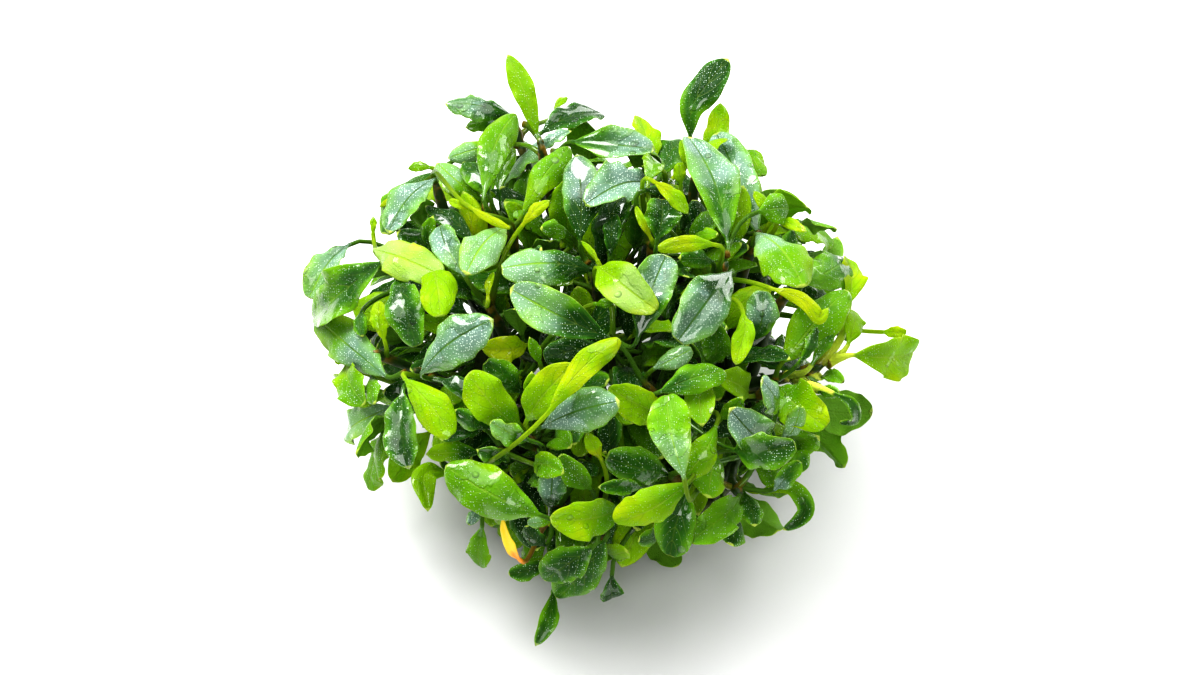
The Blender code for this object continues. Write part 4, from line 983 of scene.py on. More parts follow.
def in_sight_gap(points):
    """Whether a point lies on a sight line where the photo sees through the clump."""
    for pixel in SEE_THROUGH:
        way = unit(sight_line(np.array(pixel, float)))
        off = points - EYE
        if np.linalg.norm(off - (off @ way)[:, None] * way, axis=1).min() < SEE_THROUGH_RADIUS:
            return True
    return False


def in_outline(pixel):
    """Whether a pixel lies inside the clump's outline: a line to its right crosses an odd number of edges."""
    ends = np.array(OUTLINE, float)
    starts = np.roll(ends, 1, axis=0)
    pixel = PHOTO_OF_DOME_CENTRE + (pixel - PHOTO_OF_DOME_CENTRE) * OUTLINE_SPARE
    passed = (starts[:, 1] > pixel[1]) != (ends[:, 1] > pixel[1])
    starts, ends = starts[passed], ends[passed]
    share = (pixel[1] - starts[:, 1]) / (ends - starts)[:, 1]
    return np.count_nonzero(starts[:, 0] + share * (ends - starts)[:, 0] > pixel[0]) % 2 == 1


def under_seen_leaves(points):
    """Whether all points lie inside the outline, and well below the dome or on its far side."""
    for point in points:
        off = point - EYE
        depth = off @ FORWARD
        pixel = PHOTO_MIDDLE + np.array([off @ RIGHT, -(off @ UP)]) / depth * PHOTO_DISTANCE / MM_PER_PIXEL
        if depth - dome_depth(pixel) < INNER_DEPTH and outward(point) @ FORWARD < INNER_FAR_SIDE:
            return False
        if not in_outline(pixel):
            return False
    return True


def any_way(draw):
    return unit(np.array([draw.gauss(0, 1), draw.gauss(0, 1), draw.gauss(0, 1)]))


def inner_choice(draw):
    """One way to lay an inner leaf: a point of the dome by equal volume, and a blade that leans outwards."""
    way = any_way(draw)
    reach = draw.uniform(*INNER_REACH)
    base = DOME_CENTRE + way * DOME_HALF * reach
    lean = any_way(draw)
    heading = unit(outward(base) + lean * draw.uniform(*INNER_LEAN))
    wide = draw.uniform(*INNER_WIDE)
    tip = base + heading * wide * BLADE_RATIO * draw.uniform(*INNER_LENGTH)
    size = np.linalg.norm((tip - DOME_CENTRE) / DOME_HALF)
    tip = DOME_CENTRE + (tip - DOME_CENTRE) * min(1.0, INNER_SKIN / size)
    chord = unit(tip - base)
    facing = outward(base) + UPWARDS * INNER_FACING_UP + lean * INNER_FACING_ASIDE
    facing = facing - chord * (facing @ chord)
    return np.array([base, tip]), unit(facing), wide / 2


def grow_inner(room, crowns):
    """Leaves that fill the clump's inside, its back and its low edge, each grown from the nearest stem."""
    draw = random.Random(SEED + 1)
    sites = stem_sites(crowns)
    found = []
    for _ in range(INNER_TRIES):
        if len(found) == INNER_LEAVES:
            break
        points, facing, half_width = inner_choice(draw)
        too_low = points[:, 2].min() < LOWEST + INNER_ABOVE_GROUND
        if too_low or np.linalg.norm(points[1] - points[0]) < 2 * half_width * INNER_LEAST_RATIO:
            continue
        if in_sight_gap(points) or not under_seen_leaves(points):
            continue
        if not room.clear(blade_rings(points, facing, half_width, ROUGH_BLADE, INNER_CLEARANCE)):
            continue
        away = [np.linalg.norm(points[0] - here) for _, here, _ in sites]
        nearest = int(np.argmin(away))
        if away[nearest] > INNER_PETIOLE:
            continue
        room.add("blade", None, blade_rings(points, facing, half_width, ROUGH_BLADE))
        crown, here, way = sites[nearest]
        found.append((Placed(None, points, facing, crown, 0, half_width), here, way))
    return found


Growth = namedtuple("Growth", "rhizomes crowns leaves young inner")


@functools.lru_cache(maxsize=1)
def grow_clump():
    """Every rhizome, crown and leaf of the solids, in their order, then the young and inner leaves."""
    room = Room()
    room.add("root mat", None, root_mat(), np.array([0.0, 0.0, ROOT_MAT_TALL]))
    rhizome_paths = []
    for route in RHIZOMES.values():
        path = along(np.array(route, float), np.linspace(0.0, 1.0, RHIZOME_RINGS))
        taper = 1 - RHIZOME_TAPER * np.abs(np.linspace(-1.0, 1.0, RHIZOME_RINGS)) ** 3
        room.add("rhizome", None, tube_rings(path, RHIZOME_RADIUS * taper, RHIZOME_SIDES, UPWARDS))
        rhizome_paths.append(path)
    crowns = []
    for shoot in SHOOTS:
        crowns += grow_shoot(room, rhizome_paths, shoot, seen_crowns(shoot))
    seen_count = len(crowns)
    back_shoots = 0
    for points in hidden_crowns():
        found = grow_shoot(room, rhizome_paths, f"shoot_back_{back_shoots + 1}", points)
        back_shoots += bool(found)
        crowns += found
    steps = [set() for _ in crowns]
    leaves = []
    young = []
    for one in LEAVES:
        if one.wide < SMALLEST:
            young.append(one)
            continue
        placed = place_leaf(room, crowns, steps, seen_choices(one), one, fused=one.name is None)
        if placed is None:
            young.append(one)
        else:
            leaves.append(placed)
    draw = random.Random(SEED)
    for number in range(HIDDEN_LEAVES):
        for index in range(seen_count, len(crowns)):
            choices = hidden_choices(draw, crowns[index].point, number)
            placed = place_leaf(room, [crowns[index]], [steps[index]], choices, None, True)
            if placed is not None:
                leaves.append(placed)
    inner = grow_inner(room, crowns)
    return Growth(rhizome_paths, crowns, leaves, young, inner)


class Skin:
    """Closed tubes gathered into one mesh, with each point's place, look and seed, and a material each."""

    def __init__(self):
        self.points = []
        self.faces = []
        self.sizes = []
        self.slots = []
        self.place = []
        self.look = []
        self.seed = []
        self.count = 0

    def add(self, rings, place, look, start, end, seed=0.0, slot=0):
        """Adds a stack of rings, closed at each end by a fan to a point.

        Vertex (ring, corner) has number ring * corners + corner. Each quad joins two neighbours of a ring
        to the same two of the next, so that faces look outwards where corners run left to right on top."""
        stack, corners = rings.shape[:2]
        ring, corner = np.meshgrid(np.arange(stack - 1), np.arange(corners), indexing="ij")
        here = ring * corners + corner
        beside = ring * corners + (corner + 1) % corners
        quads = np.stack([here, beside, beside + corners, here + corners], axis=-1).reshape(-1, 4)
        turn = np.arange(corners)
        following = (turn + 1) % corners
        foot = np.full(corners, stack * corners)
        last = (stack - 1) * corners
        fan_foot = np.stack([following, turn, foot], axis=1)
        fan_tip = np.stack([last + turn, last + following, foot + 1], axis=1)
        for faces in (quads, fan_foot, fan_tip):
            self.faces.append((faces + self.count).ravel())
            self.sizes.append(np.full(len(faces), faces.shape[1]))
            self.slots.append(np.full(len(faces), slot))
        total = stack * corners
        self.points += [rings.reshape(-1, 3), np.array([start, end])]
        self.place += [place.reshape(-1, 3), place[[0, -1], 0]]
        self.look += [look.reshape(-1, 4), look[[0, -1], 0]]
        self.seed.append(np.full(total + 2, seed))
        self.count += total + 2

    def add_plain(self, rings, start, end):
        """Adds a stack of rings whose material asks for no place or look."""
        self.add(rings, np.zeros((*rings.shape[:2], 3)), np.zeros((*rings.shape[:2], 4)), start, end)

    def make(self, name, materials):
        """The object of everything that was added, in metres."""
        mesh = bpy.data.meshes.new(name)
        points = np.concatenate(self.points) * MM
        faces = np.concatenate(self.faces).astype(np.int32)
        sizes = np.concatenate(self.sizes)
        mesh.vertices.add(len(points))
        mesh.vertices.foreach_set("co", points.ravel())
        mesh.loops.add(len(faces))
        mesh.loops.foreach_set("vertex_index", faces)
        mesh.polygons.add(len(sizes))
        mesh.polygons.foreach_set("loop_start", (np.cumsum(sizes) - sizes).astype(np.int32))
        mesh.polygons.foreach_set("material_index", np.concatenate(self.slots).astype(np.int32))
        mesh.update(calc_edges=True)
        for title, kind, field, values in (
            ("place", "FLOAT_VECTOR", "vector", self.place),
            ("look", "FLOAT_COLOR", "color", self.look),
            ("seed", "FLOAT", "value", self.seed),
        ):
            attribute = mesh.attributes.new(title, kind, "POINT")
            attribute.data.foreach_set(field, np.concatenate(values).astype(np.float32).ravel())
        mesh.shade_smooth()
        for material in materials:
            mesh.materials.append(material)
        made = bpy.data.objects.new(name, mesh)
        bpy.context.scene.collection.objects.link(made)
        return made


LeafForm = namedtuple("LeafForm", "widest fold bulge wave waves ripple phase far twist recurve sway ragged")


def leaf_form(rng, wavy, drooping):
    """How one leaf departs from a flat oval: its widest place, fold, swell, margin waves, twist and droop."""
    cupped = rng.uniform() < 0.5
    return LeafForm(
        widest=rng.uniform(1.08, 1.36),
        fold=rng.uniform(0.12, 0.48) if cupped else rng.uniform(-0.42, -0.06),
        bulge=rng.uniform(0.06, 0.17),
        wave=rng.uniform(0.12, 0.32) * wavy,
        waves=rng.uniform(1.3, 2.6),
        ripple=rng.uniform(0.05, 0.13) * wavy,
        phase=rng.uniform(0.0, 1.0),
        far=rng.uniform(0.25, 0.75),
        twist=math.radians(rng.uniform(-30.0, 30.0)),
        recurve=(0.02 + 0.26 * rng.uniform() ** 2) * drooping,
        sway=rng.uniform(-0.06, 0.06),
        ragged=rng.uniform(0.02, 0.06),
    )


def ease(value, low, high):
    """Rises smoothly from 0 at low to 1 at high (3t^2 - 2t^3)."""
    t = np.clip((value - low) / (high - low), 0.0, 1.0)
    return t * t * (3 - 2 * t)


def ring_corners(spans):
    """Each corner of a ring: its place across from -1 to 1, and its height, which together are a circle.

    They run left to right on top and back underneath, and stand closest at the margins."""
    turn = np.linspace(0.0, math.pi, spans + 1)
    across = -np.cos(turn)
    height = np.sin(turn)
    return np.concatenate([across, across[-2:0:-1]]), np.concatenate([height, -height[-2:0:-1]])


def blade_surface(points, facing, half_width, form, spans, stations):
    """A blade's rings and places.

    Along it, u runs from 0 to 1. The middle follows the leaf's bowed line, swings aside by sway sin(pi u)
    and droops towards the tip. Across it, v runs from -1 to 1. The half width is sin(pi u^widest), blunt at
    the tip and drawn out at the base. The height over the middle is the half width times fold |v|^1.4, plus
    bulge sin(pi |v|), plus a wave that grows with v^2. Thickness falls off to a round margin."""
    even = np.linspace(0.0, 1.0, stations)
    crowded = 0.5 - 0.5 * np.cos(math.pi * even)
    u = (EVEN_STATIONS * even + CROWDED_STATIONS * crowded) * LAST_STATION
    u = np.append(u, 1.0)
    length = run_of(points)
    centre, side, face = blade_frame(points, facing, u)
    turn = (form.twist * u)[:, None]
    side, face = side * np.cos(turn) + face * np.sin(turn), face * np.cos(turn) - side * np.sin(turn)
    droop = ease(u, *DROOP_SPAN) ** DROOP_POWER
    centre = centre - face * (form.recurve * length * droop)[:, None]
    centre = centre + side * (form.sway * length * np.sin(math.pi * u))[:, None]
    tip = centre[-1] + unit(centre[-1] - centre[-3]) * TIP_POINT
    u, centre, side, face = u[:-1], centre[:-1], side[:-1], face[:-1]
    across, height = ring_corners(spans)
    v = across[None, :]
    size = np.abs(v)
    blade = ease(u, 0.0, STALK_FADE)[:, None]
    oval = np.sin(math.pi * u**form.widest) ** (FULLNESS - FULLER_TIP * ease(u, 0.25, 0.85))
    wide = np.maximum(half_width * SLIMMER * oval, VISIBLE_PETIOLE * (1 - u) ** 2)[:, None]
    hand = np.where(v > 0, form.far, 0.0)
    round_u = 2 * math.pi * u[:, None]
    rough = 1.0
    for part, waves, with_phase, with_hand in RAGGED:
        notches = np.sin(waves * round_u + with_phase * form.phase + with_hand * hand)
        rough = rough + part * form.ragged * blade * notches
    wave = form.wave * np.sin(form.waves * round_u + 2 * math.pi * (form.phase + hand)) * size**2.2
    wave = wave + form.ripple * np.sin(2.3 * form.waves * round_u + 11 * form.phase + 17 * hand) * size**3
    wave = wave * np.sin(math.pi * u[:, None]) ** 0.5
    relief = wide * blade * (form.fold * size**1.4 + form.bulge * np.sin(math.pi * size) + wave)
    plate = LEAF_THICK / 2 * (1 - THIN_MARGIN * size) * np.abs(height) ** THIN_MARGIN
    rib = np.where(height < 0, LEAF_RIB * (1 - u[:, None]) * np.exp(-((v / RIB_WIDTH) ** 2)), 0.0)
    stalk = VISIBLE_PETIOLE * np.abs(height)
    half_thick = (stalk * (1 - blade) + (plate + rib) * blade) * np.sign(height)[None, :]
    rings = (
        centre[:, None, :]
        + side[:, None, :] * (wide * rough * v)[..., None]
        + face[:, None, :] * (relief + half_thick)[..., None]
    )
    upper = np.broadcast_to((height > -0.01).astype(float)[None, :], rings.shape[:2])
    place = np.stack([*np.broadcast_arrays(v, u[:, None]), upper], axis=-1)
    return rings, place, tip


def stalk_surface(path, face, last_way, spans, thick):
    """A petiole's rings and places: a circle carried down its path without a twist, wider at its foot."""
    across, height = ring_corners(spans)
    ways = np.gradient(path, axis=0)
    ways[-1] = last_way
    rings = []
    for number in range(len(path) - 1, -1, -1):
        ahead = unit(ways[number])
        face = unit(face - ahead * (face @ ahead))
        side = np.cross(ahead, face)
        spare = 1 - number / (len(path) - 1)
        radius = VISIBLE_PETIOLE * (1 + SHEATH * spare**3) * (1 + (thick - 1) * ease(spare, 0.0, 0.4))
        rings.append(path[number] + radius * (across[:, None] * side + height[:, None] * face))
    rings = np.array(rings)[::-1]
    share = np.linspace(-1.0, 0.0, len(path))
    place = np.zeros((*rings.shape[:2], 3))
    place[..., 0] = across
    place[..., 1] = share[:, None]
    place[..., 2] = height > -0.01
    return rings, place


def tone_look(place, look, rng, wet):
    """Age, silver, wetness and thinness at each point of a leaf, from its base's tone to its tip's."""
    first, last = (np.array(TONES[letter]) for letter in look[:2])
    share = ease(place[..., 1], *TONE_CHANGE)[..., None]
    tone = first * (1 - share) + last * share
    age = tone[..., 0] + rng.uniform(-AGE_SPREAD, AGE_SPREAD)
    damp = np.full(age.shape, wet)
    return np.stack([age, tone[..., 1], damp, tone[..., 2]], axis=-1)


def add_blade(skin, placed, look, number, start, first_way, spread, grid=FINE_GRID, thick=1.0):
    """Adds one leaf, from its petiole's foot to its pale tip point."""
    spans, stations, stalk_stations = grid
    rng = np.random.default_rng([LOOK_SEED, number])
    form = leaf_form(rng, VERY_WAVY if "v" in look else 1.0, STRAIGHT if "s" in look else 1.0)
    blade, blade_place, tip = blade_surface(
        placed.points, placed.facing, placed.half_width, form, spans, stations)
    path = petiole_line(start, first_way, placed, spread, stalk_stations)
    path[:, 2] = np.maximum(path[:, 2], PETIOLE_LOWEST)
    centre, _, face = blade_frame(placed.points, placed.facing, np.array([0.0, BLADE_FOOT]))
    stalk, stalk_place = stalk_surface(path, face[0], centre[1] - centre[0], spans, thick)
    rings = np.concatenate([stalk[:-1], blade])
    place = np.concatenate([stalk_place[:-1], blade_place])
    wet = rng.uniform(*(WET if "w" in look else DRY))
    skin.add(rings, place, tone_look(place, look, rng, wet), path[0], tip, seed=rng.uniform(0.0, 1.0))
    return rings


def stem_surface(stem, foot_radius):
    """A stem's rings and places: a round tube that swells at each leaf scar, domed at its crown."""
    length = run_of(stem)
    share = np.linspace(0.0, 1.0, STEM_STATIONS)
    scars = np.abs(np.sin(math.pi * share * length / LEAF_STEP)) ** 0.5
    radius = (foot_radius + (STEM_RADIUS - foot_radius) * share) * (STEM_SLIMNESS + STEM_SCAR * scars)
    closing, closed, shrinking = CROWN_DOME
    radius *= 1 - shrinking * ease(share, closing, closed)
    path = along(stem, share)
    rings = tube_rings(path, radius, STEM_CORNERS, STEM_SIDE)[:, ::-1]
    place = np.zeros((*rings.shape[:2], 3))
    place[..., 0] = np.linspace(-1.0, 1.0, STEM_CORNERS)
    place[..., 1] = share[:, None]
    return rings, place, path


def add_stem(skin, crown, foot_radius, number):
    rings, place, path = stem_surface(crown.stem, foot_radius)
    rng = np.random.default_rng([LOOK_SEED, STEM_STREAM + number])
    look = np.zeros((*rings.shape[:2], 4))
    look[..., 0] = rng.uniform(0.0, 1.0)
    skin.add(rings, place, look, path[0], path[-1], seed=rng.uniform(), slot=1)


def hidden_look(rng):
    """The tones of a leaf that the photo doesn't show, drawn by how often each shows elsewhere."""
    return str(rng.choice(HIDDEN_LOOKS, p=HIDDEN_SHARES))


def same_place(name, low, high):
    """Raises an error if a piece's points in millimetres stray from its node's box."""
    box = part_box(name)
    worst = max(np.abs(np.array(box[0]) / MM - low).max(), np.abs(np.array(box[1]) / MM - high).max())
    if worst > PLACE_LIMIT:
        raise RuntimeError(f"{name} is {worst:.1f} mm off the node that it replaces")
    return worst


def length_property(name, description, default, low, high, precision):
    return bpy.props.FloatProperty(
        name=name, description=description, default=default, min=low, max=high, precision=precision,
        subtype="DISTANCE", unit="LENGTH")


def power_property(name, description, default):
    return bpy.props.FloatProperty(name=name, description=description, default=default, unit="POWER")


def colour_property(name, description, default):
    return bpy.props.FloatVectorProperty(
        name=name, description=description, default=default, size=3, min=0.0, max=1.0, subtype="COLOR")


class ClumpSizes(bpy.types.PropertyGroup):
    """Sizes of the leaves' surface detail."""

    # The specks are painted glints of the papillae; their spacing also sets the papillae's bumps
    speckle: length_property("Speckle spacing", "Distance between fine specks", 0.00044, 0.0002, 0.003, 5)
    bead: length_property("Bead spacing", "Distance between wet beads on a leaf", 0.0030, 0.001, 0.02, 4)
    film: length_property("Wet patch", "Size of the glossy wet patches on a leaf", 0.0065, 0.001, 0.05, 4)
    veins: bpy.props.FloatProperty(
        name="Veins", description="How many side veins leave each side of a midrib", default=5.0,
        min=2.0, max=24.0)


class ClumpColours(bpy.types.PropertyGroup):
    """Colours of the plant's tissues."""

    yellow: colour_property("Yellow leaf", "Youngest leaves", (0.62, 0.70, 0.012))
    lime: colour_property("Lime leaf", "Young leaves", (0.36, 0.62, 0.004))
    olive: colour_property("Olive leaf", "Leaves turning from lime to green", (0.25, 0.45, 0.003))
    bright: colour_property("Bright leaf", "Bright green leaves", (0.15, 0.36, 0.004))
    mid: colour_property("Mid green leaf", "Grown leaves", (0.112, 0.275, 0.007))
    dark: colour_property("Dark leaf", "Old leaves", (0.036, 0.132, 0.008))
    darkest: colour_property("Darkest leaf", "Oldest leaves", (0.012, 0.056, 0.005))
    # Painted sheen: the silver bloom is partly a glaucous cast and partly the soft light's reflection painted
    # in
    silver: colour_property("Silver bloom", "Velvety bloom of silver leaves", (0.29, 0.41, 0.38))
    # Painted sheen: the pale bloom of young leaves is partly their own and partly the soft light's reflection
    # painted in
    young_bloom: colour_property("Bloom of young leaves", "Pale bloom of lime leaves", (0.75, 0.92, 0.42))
    # The margin colour also paints rim light along a leaf's edge and tip
    margin: colour_property("Leaf margin", "Thin pale edge and tip of a leaf", (0.55, 0.68, 0.12))
    underside: colour_property("Leaf underside", "Lower face of a leaf", (0.22, 0.44, 0.05))
    petiole: colour_property("Young petiole", "Stalks of young leaves", (0.42, 0.58, 0.02))
    old_petiole: colour_property("Old petiole", "Stalks of old leaves", (0.07, 0.16, 0.012))
    pale_petiole: colour_property("Pale petiole", "Stalks of the pale bundle", (0.70, 0.78, 0.10))
    crown: colour_property("Crown", "Brown-orange sheaths on a stem", (0.21, 0.13, 0.014))
    stem: colour_property("Stem", "Green stem between sheaths", (0.020, 0.050, 0.006))
    withered: colour_property("Dying leaf", "Yellow of the dying leaf", (0.85, 0.62, 0.02))
    dying: colour_property("Dying leaf's base", "Orange base of the dying leaf", (0.80, 0.30, 0.02))
    rhizome: colour_property("Rhizome", "Creeping stems", (0.075, 0.095, 0.025))
    root: colour_property("Root", "Matted roots", (0.16, 0.095, 0.045))


class StageSettings(bpy.types.PropertyGroup):
    """The floor and the lights."""

    floor: colour_property("Floor", "Colour of the floor", (0.70, 0.70, 0.70))
    key: power_property("Key light", "Power of the large soft light behind the clump", 10.0)
    sheet: power_property("Overhead light", "Power of the wide soft light above the clump", 8.6)
    rim: power_property("Rim light", "Power of the low light that shines through the leaves", 3.0)
    fill: power_property("Fill light", "Power of the soft light at the front", 4.8)
    sky: bpy.props.FloatProperty(
        name="Surroundings", description="Strength of the white surroundings", default=0.3)


class Nodes:
    """Short ways to put shader nodes into a tree and to join them."""

    def __init__(self, tree):
        self.tree = tree

    def add(self, kind, *inputs, **settings):
        """A node with its settings, and its inputs in order: None, a value or a socket to link."""
        node = self.tree.nodes.new(kind)
        for name, value in settings.items():
            setattr(node, name, value)
        for socket, value in zip(node.inputs, inputs):
            self.feed(socket, value)
        return node

    def feed(self, socket, value):
        if isinstance(value, bpy.types.NodeSocket):
            self.tree.links.new(value, socket)
        elif value is not None:
            socket.default_value = value

    def fill(self, node, inputs):
        """Gives a node's inputs their values or links, by name."""
        for title, value in inputs.items():
            self.feed(node.inputs[title], value)
        return node

    def math(self, operation, *values):
        return self.add("ShaderNodeMath", *values, operation=operation).outputs[0]

    def plus(self, first, second):
        return self.math("ADD", first, second)

    def minus(self, first, second):
        return self.math("SUBTRACT", first, second)

    def times(self, first, second):
        return self.math("MULTIPLY", first, second)

    def smooth(self, value, low, high, first=0.0, last=1.0):
        node = self.add("ShaderNodeMapRange", value, low, high, first, last, interpolation_type="SMOOTHSTEP")
        return node.outputs[0]

    def mix(self, share, first, second):
        node = self.add("ShaderNodeMix", data_type="RGBA")
        self.feed(node.inputs["Factor"], share)
        for socket, value in (("A", first), ("B", second)):
            named = [one for one in node.inputs if one.name == socket and one.type == "RGBA"][0]
            self.feed(named, value if isinstance(value, bpy.types.NodeSocket) else (*value, 1.0))
        return [one for one in node.outputs if one.type == "RGBA"][0]

    def noise(self, vector, scale, detail=2.0, distortion=0.0):
        inputs = {"Vector": vector, "Scale": scale, "Detail": detail, "Distortion": distortion}
        return self.fill(self.add("ShaderNodeTexNoise"), inputs).outputs["Fac"]

    def cells(self, vector, scale, randomness=1.0):
        """Distance to the nearest of many scattered points, and a chance value for each point."""
        node = self.add("ShaderNodeTexVoronoi")
        self.fill(node, {"Vector": vector, "Scale": scale, "Randomness": randomness})
        chance = self.add("ShaderNodeSeparateColor", node.outputs["Color"])
        return node.outputs["Distance"], chance.outputs[0], chance.outputs[1]

    def attribute(self, name):
        return self.add("ShaderNodeAttribute", attribute_name=name)

    def spot(self):
        return self.add("ShaderNodeTexCoord").outputs["Object"]

    def place(self):
        """A point's place on its leaf or stem: across it, along it, and whether it is on top."""
        return self.add("ShaderNodeSeparateXYZ", self.attribute("place").outputs["Vector"]).outputs


def shared_group(name, given, colours, values):
    """An empty node group that takes some values and puts out colours and values, and its ends to link."""
    tree = bpy.data.node_groups.new(name, "ShaderNodeTree")
    kinds = ((given, "INPUT", "Float"), (colours, "OUTPUT", "Color"), (values, "OUTPUT", "Float"))
    for titles, way, kind in kinds:
        for title in titles:
            tree.interface.new_socket(title, in_out=way, socket_type="NodeSocket" + kind)
    nodes = Nodes(tree)
    return nodes, nodes.add("NodeGroupInput"), nodes.add("NodeGroupOutput")


PatternPoint = namedtuple("PatternPoint", "spot age silver wet aside lengthwise upper mottle patch")


def age_colour(nodes, at):
    """A leaf's own colour: its age, mottled, and younger towards its margins, through a ramp of tones."""
    age = nodes.plus(at.age, nodes.times(nodes.minus(at.mottle, 0.5), 0.28))
    age = nodes.plus(age, nodes.times(nodes.minus(at.patch, 0.5), 0.46))
    paler = nodes.times(nodes.smooth(at.aside, 0.3, 1.0, -0.06, 0.24), at.age)
    ramp = nodes.add("ShaderNodeValToRGB", nodes.minus(age, paler))
    colours = bpy.context.scene.clump_colours
    tones = (colours.yellow, colours.lime, colours.olive, colours.bright, colours.mid, colours.dark,
             colours.darkest)
    stops = ramp.color_ramp.elements
    while len(stops) < len(tones):
        stops.new(0.5)
    for number, tone in enumerate(tones):
        stops[number].position = number / (len(tones) - 1)
        stops[number].color = (*tone, 1.0)
    return ramp.outputs["Color"]


def vein_masks(nodes, at, seed, count):
    """Where the side veins and the midrib are. Side veins leave the midrib in turn and bend to the tip."""
    lag = nodes.times(nodes.math("POWER", at.aside, 1.4), 0.5)
    rank = nodes.times(nodes.minus(at.lengthwise, lag), count)
    wander = nodes.times(nodes.minus(at.mottle, 0.5), 0.10)
    rank = nodes.plus(nodes.plus(rank, seed), wander)
    off_vein = nodes.math("ABSOLUTE", nodes.minus(nodes.math("FRACT", rank), 0.5))
    short_of_margin = nodes.smooth(at.aside, 0.97, 0.75)
    vein = nodes.times(nodes.smooth(off_vein, 0.10, 0.0), short_of_margin)
    return vein, nodes.smooth(at.aside, 0.075, 0.015)


def bloom_mask(nodes, at, midrib):
    """Where the upper face has its silver bloom, partly painted sheen: in ragged patches, thinner at the
    midrib and margins.
    """
    ragged = nodes.plus(at.silver, nodes.times(nodes.minus(at.mottle, 0.5), 0.7))
    bloom_sheen = nodes.times(nodes.smooth(ragged, 0.22, 0.72), nodes.smooth(at.patch, 0.34, 0.60, 0.45, 1.0))
    bloom_sheen = nodes.times(bloom_sheen, nodes.smooth(midrib, 0.0, 1.0, 1.0, 0.1))
    bloom_sheen = nodes.times(bloom_sheen, nodes.smooth(at.aside, 0.8, 1.0, 1.0, 0.35))
    return nodes.times(bloom_sheen, at.upper)


def speck_mask(nodes, at, bloom_sheen, midrib, spacing, chance):
    """Where the pale specks, painted glints of the papillae, are: in the middle of some cells, more of them
    and larger under the bloom.
    """
    dense = nodes.plus(nodes.times(bloom_sheen, 0.80), nodes.smooth(at.patch, 0.38, 0.66, 0.14, 0.62))
    dense = nodes.times(dense, nodes.smooth(at.age, 0.1, 0.6, 0.35, 1.0))
    reach = nodes.plus(nodes.times(dense, 0.09), 0.17)
    glint_speck = nodes.smooth(nodes.minus(spacing, reach), 0.06, -0.06)
    glint_speck = nodes.times(glint_speck, nodes.smooth(nodes.minus(chance, dense), 0.55, 0.05))
    return nodes.times(nodes.times(glint_speck, at.upper), nodes.smooth(midrib, 0.0, 1.0, 1.0, 0.0))


def blade_colour(nodes, at, own, vein, midrib, bloom_sheen, glint_speck, blade):
    """A blade's colour: its own, veins, bloom (partly painted sheen), midrib, painted glint specks, a pale
    edge (partly painted rim light), a paler underside.
    """
    colours = bpy.context.scene.clump_colours
    colour = nodes.mix(nodes.times(vein, 0.09), own, colours.margin)
    young_vein = nodes.times(vein, nodes.smooth(at.age, 0.55, 0.1, 0.0, 0.42))
    colour = nodes.mix(young_vein, colour, colours.bright)
    # Painted sheen: the bloom pales the leaf, partly as its glaucous cast and partly as a painted reflection
    bloom_sheen_tint = nodes.mix(nodes.smooth(at.age, 0.15, 0.5), colours.young_bloom, colours.silver)
    colour = nodes.mix(nodes.times(bloom_sheen, 0.54), colour, bloom_sheen_tint)
    pale_rib = nodes.times(nodes.smooth(at.age, 0.8, 0.2, 0.05, 0.35), blade)
    colour = nodes.mix(nodes.times(midrib, pale_rib), colour, colours.margin)
    # Painted glints: pale specks where the papillae would catch the light
    glint_tint = nodes.mix(nodes.smooth(at.age, 0.1, 0.6), YOUNG_GLINT, OLD_GLINT)
    colour = nodes.mix(nodes.times(glint_speck, 0.84), colour, glint_tint)
    # Pale margin and tip, partly the leaf's own and partly painted rim light
    rim_lit_edge = nodes.times(nodes.smooth(at.aside, 0.96, 1.0), 0.45)
    rim_lit_edge = nodes.math("MAXIMUM", rim_lit_edge, nodes.smooth(at.lengthwise, 0.965, 0.99))
    colour = nodes.mix(nodes.times(rim_lit_edge, blade), colour, colours.margin)
    under = nodes.times(nodes.minus(1.0, at.upper), nodes.smooth(at.age, 0.1, 0.6, 0.25, 0.7))
    return nodes.mix(under, colour, colours.underside)


def petiole_colour(nodes, at, pale):
    """A petiole's colour: by its leaf's age, shaded towards its foot, with a brown sheath."""
    colours = bpy.context.scene.clump_colours
    stalk = nodes.mix(nodes.smooth(at.age, 0.15, 0.7), colours.petiole, colours.old_petiole)
    shaded = nodes.times(nodes.smooth(at.lengthwise, -0.05, -0.7, 0.0, 0.85), nodes.minus(1.0, pale))
    stalk = nodes.mix(shaded, stalk, colours.old_petiole)
    stalk = nodes.mix(pale, stalk, colours.pale_petiole)
    return nodes.mix(nodes.smooth(at.lengthwise, -0.75, -1.0), stalk, colours.crown)


def wet_film(nodes, at, sizes):
    """Where the upper face is wet, with the height of its beads over their spacing.

    The film covers what lies over a level in a noise. A bead is a round cap, sqrt(r^2 - d^2) high."""
    noise = nodes.noise(at.spot, 1.0 / sizes.film, 4.0, 0.6)
    level = nodes.minus(0.635, nodes.times(at.wet, 0.20))
    film = nodes.smooth(nodes.minus(noise, level), -0.012, 0.012)
    film = nodes.times(film, at.upper)
    off_middle, chance, size = nodes.cells(at.spot, 1.0 / sizes.bead)
    radius = nodes.smooth(size, 0.0, 1.0, 0.12, 0.27)
    present = nodes.smooth(nodes.minus(chance, nodes.times(at.wet, 0.5)), 0.02, 0.0)
    rise = nodes.minus(nodes.times(radius, radius), nodes.times(off_middle, off_middle))
    bead = nodes.math("SQRT", nodes.math("MAXIMUM", rise, 0.0))
    bead = nodes.times(nodes.times(bead, present), at.upper)
    return nodes.math("MAXIMUM", film, nodes.smooth(bead, 0.0, 0.03)), bead


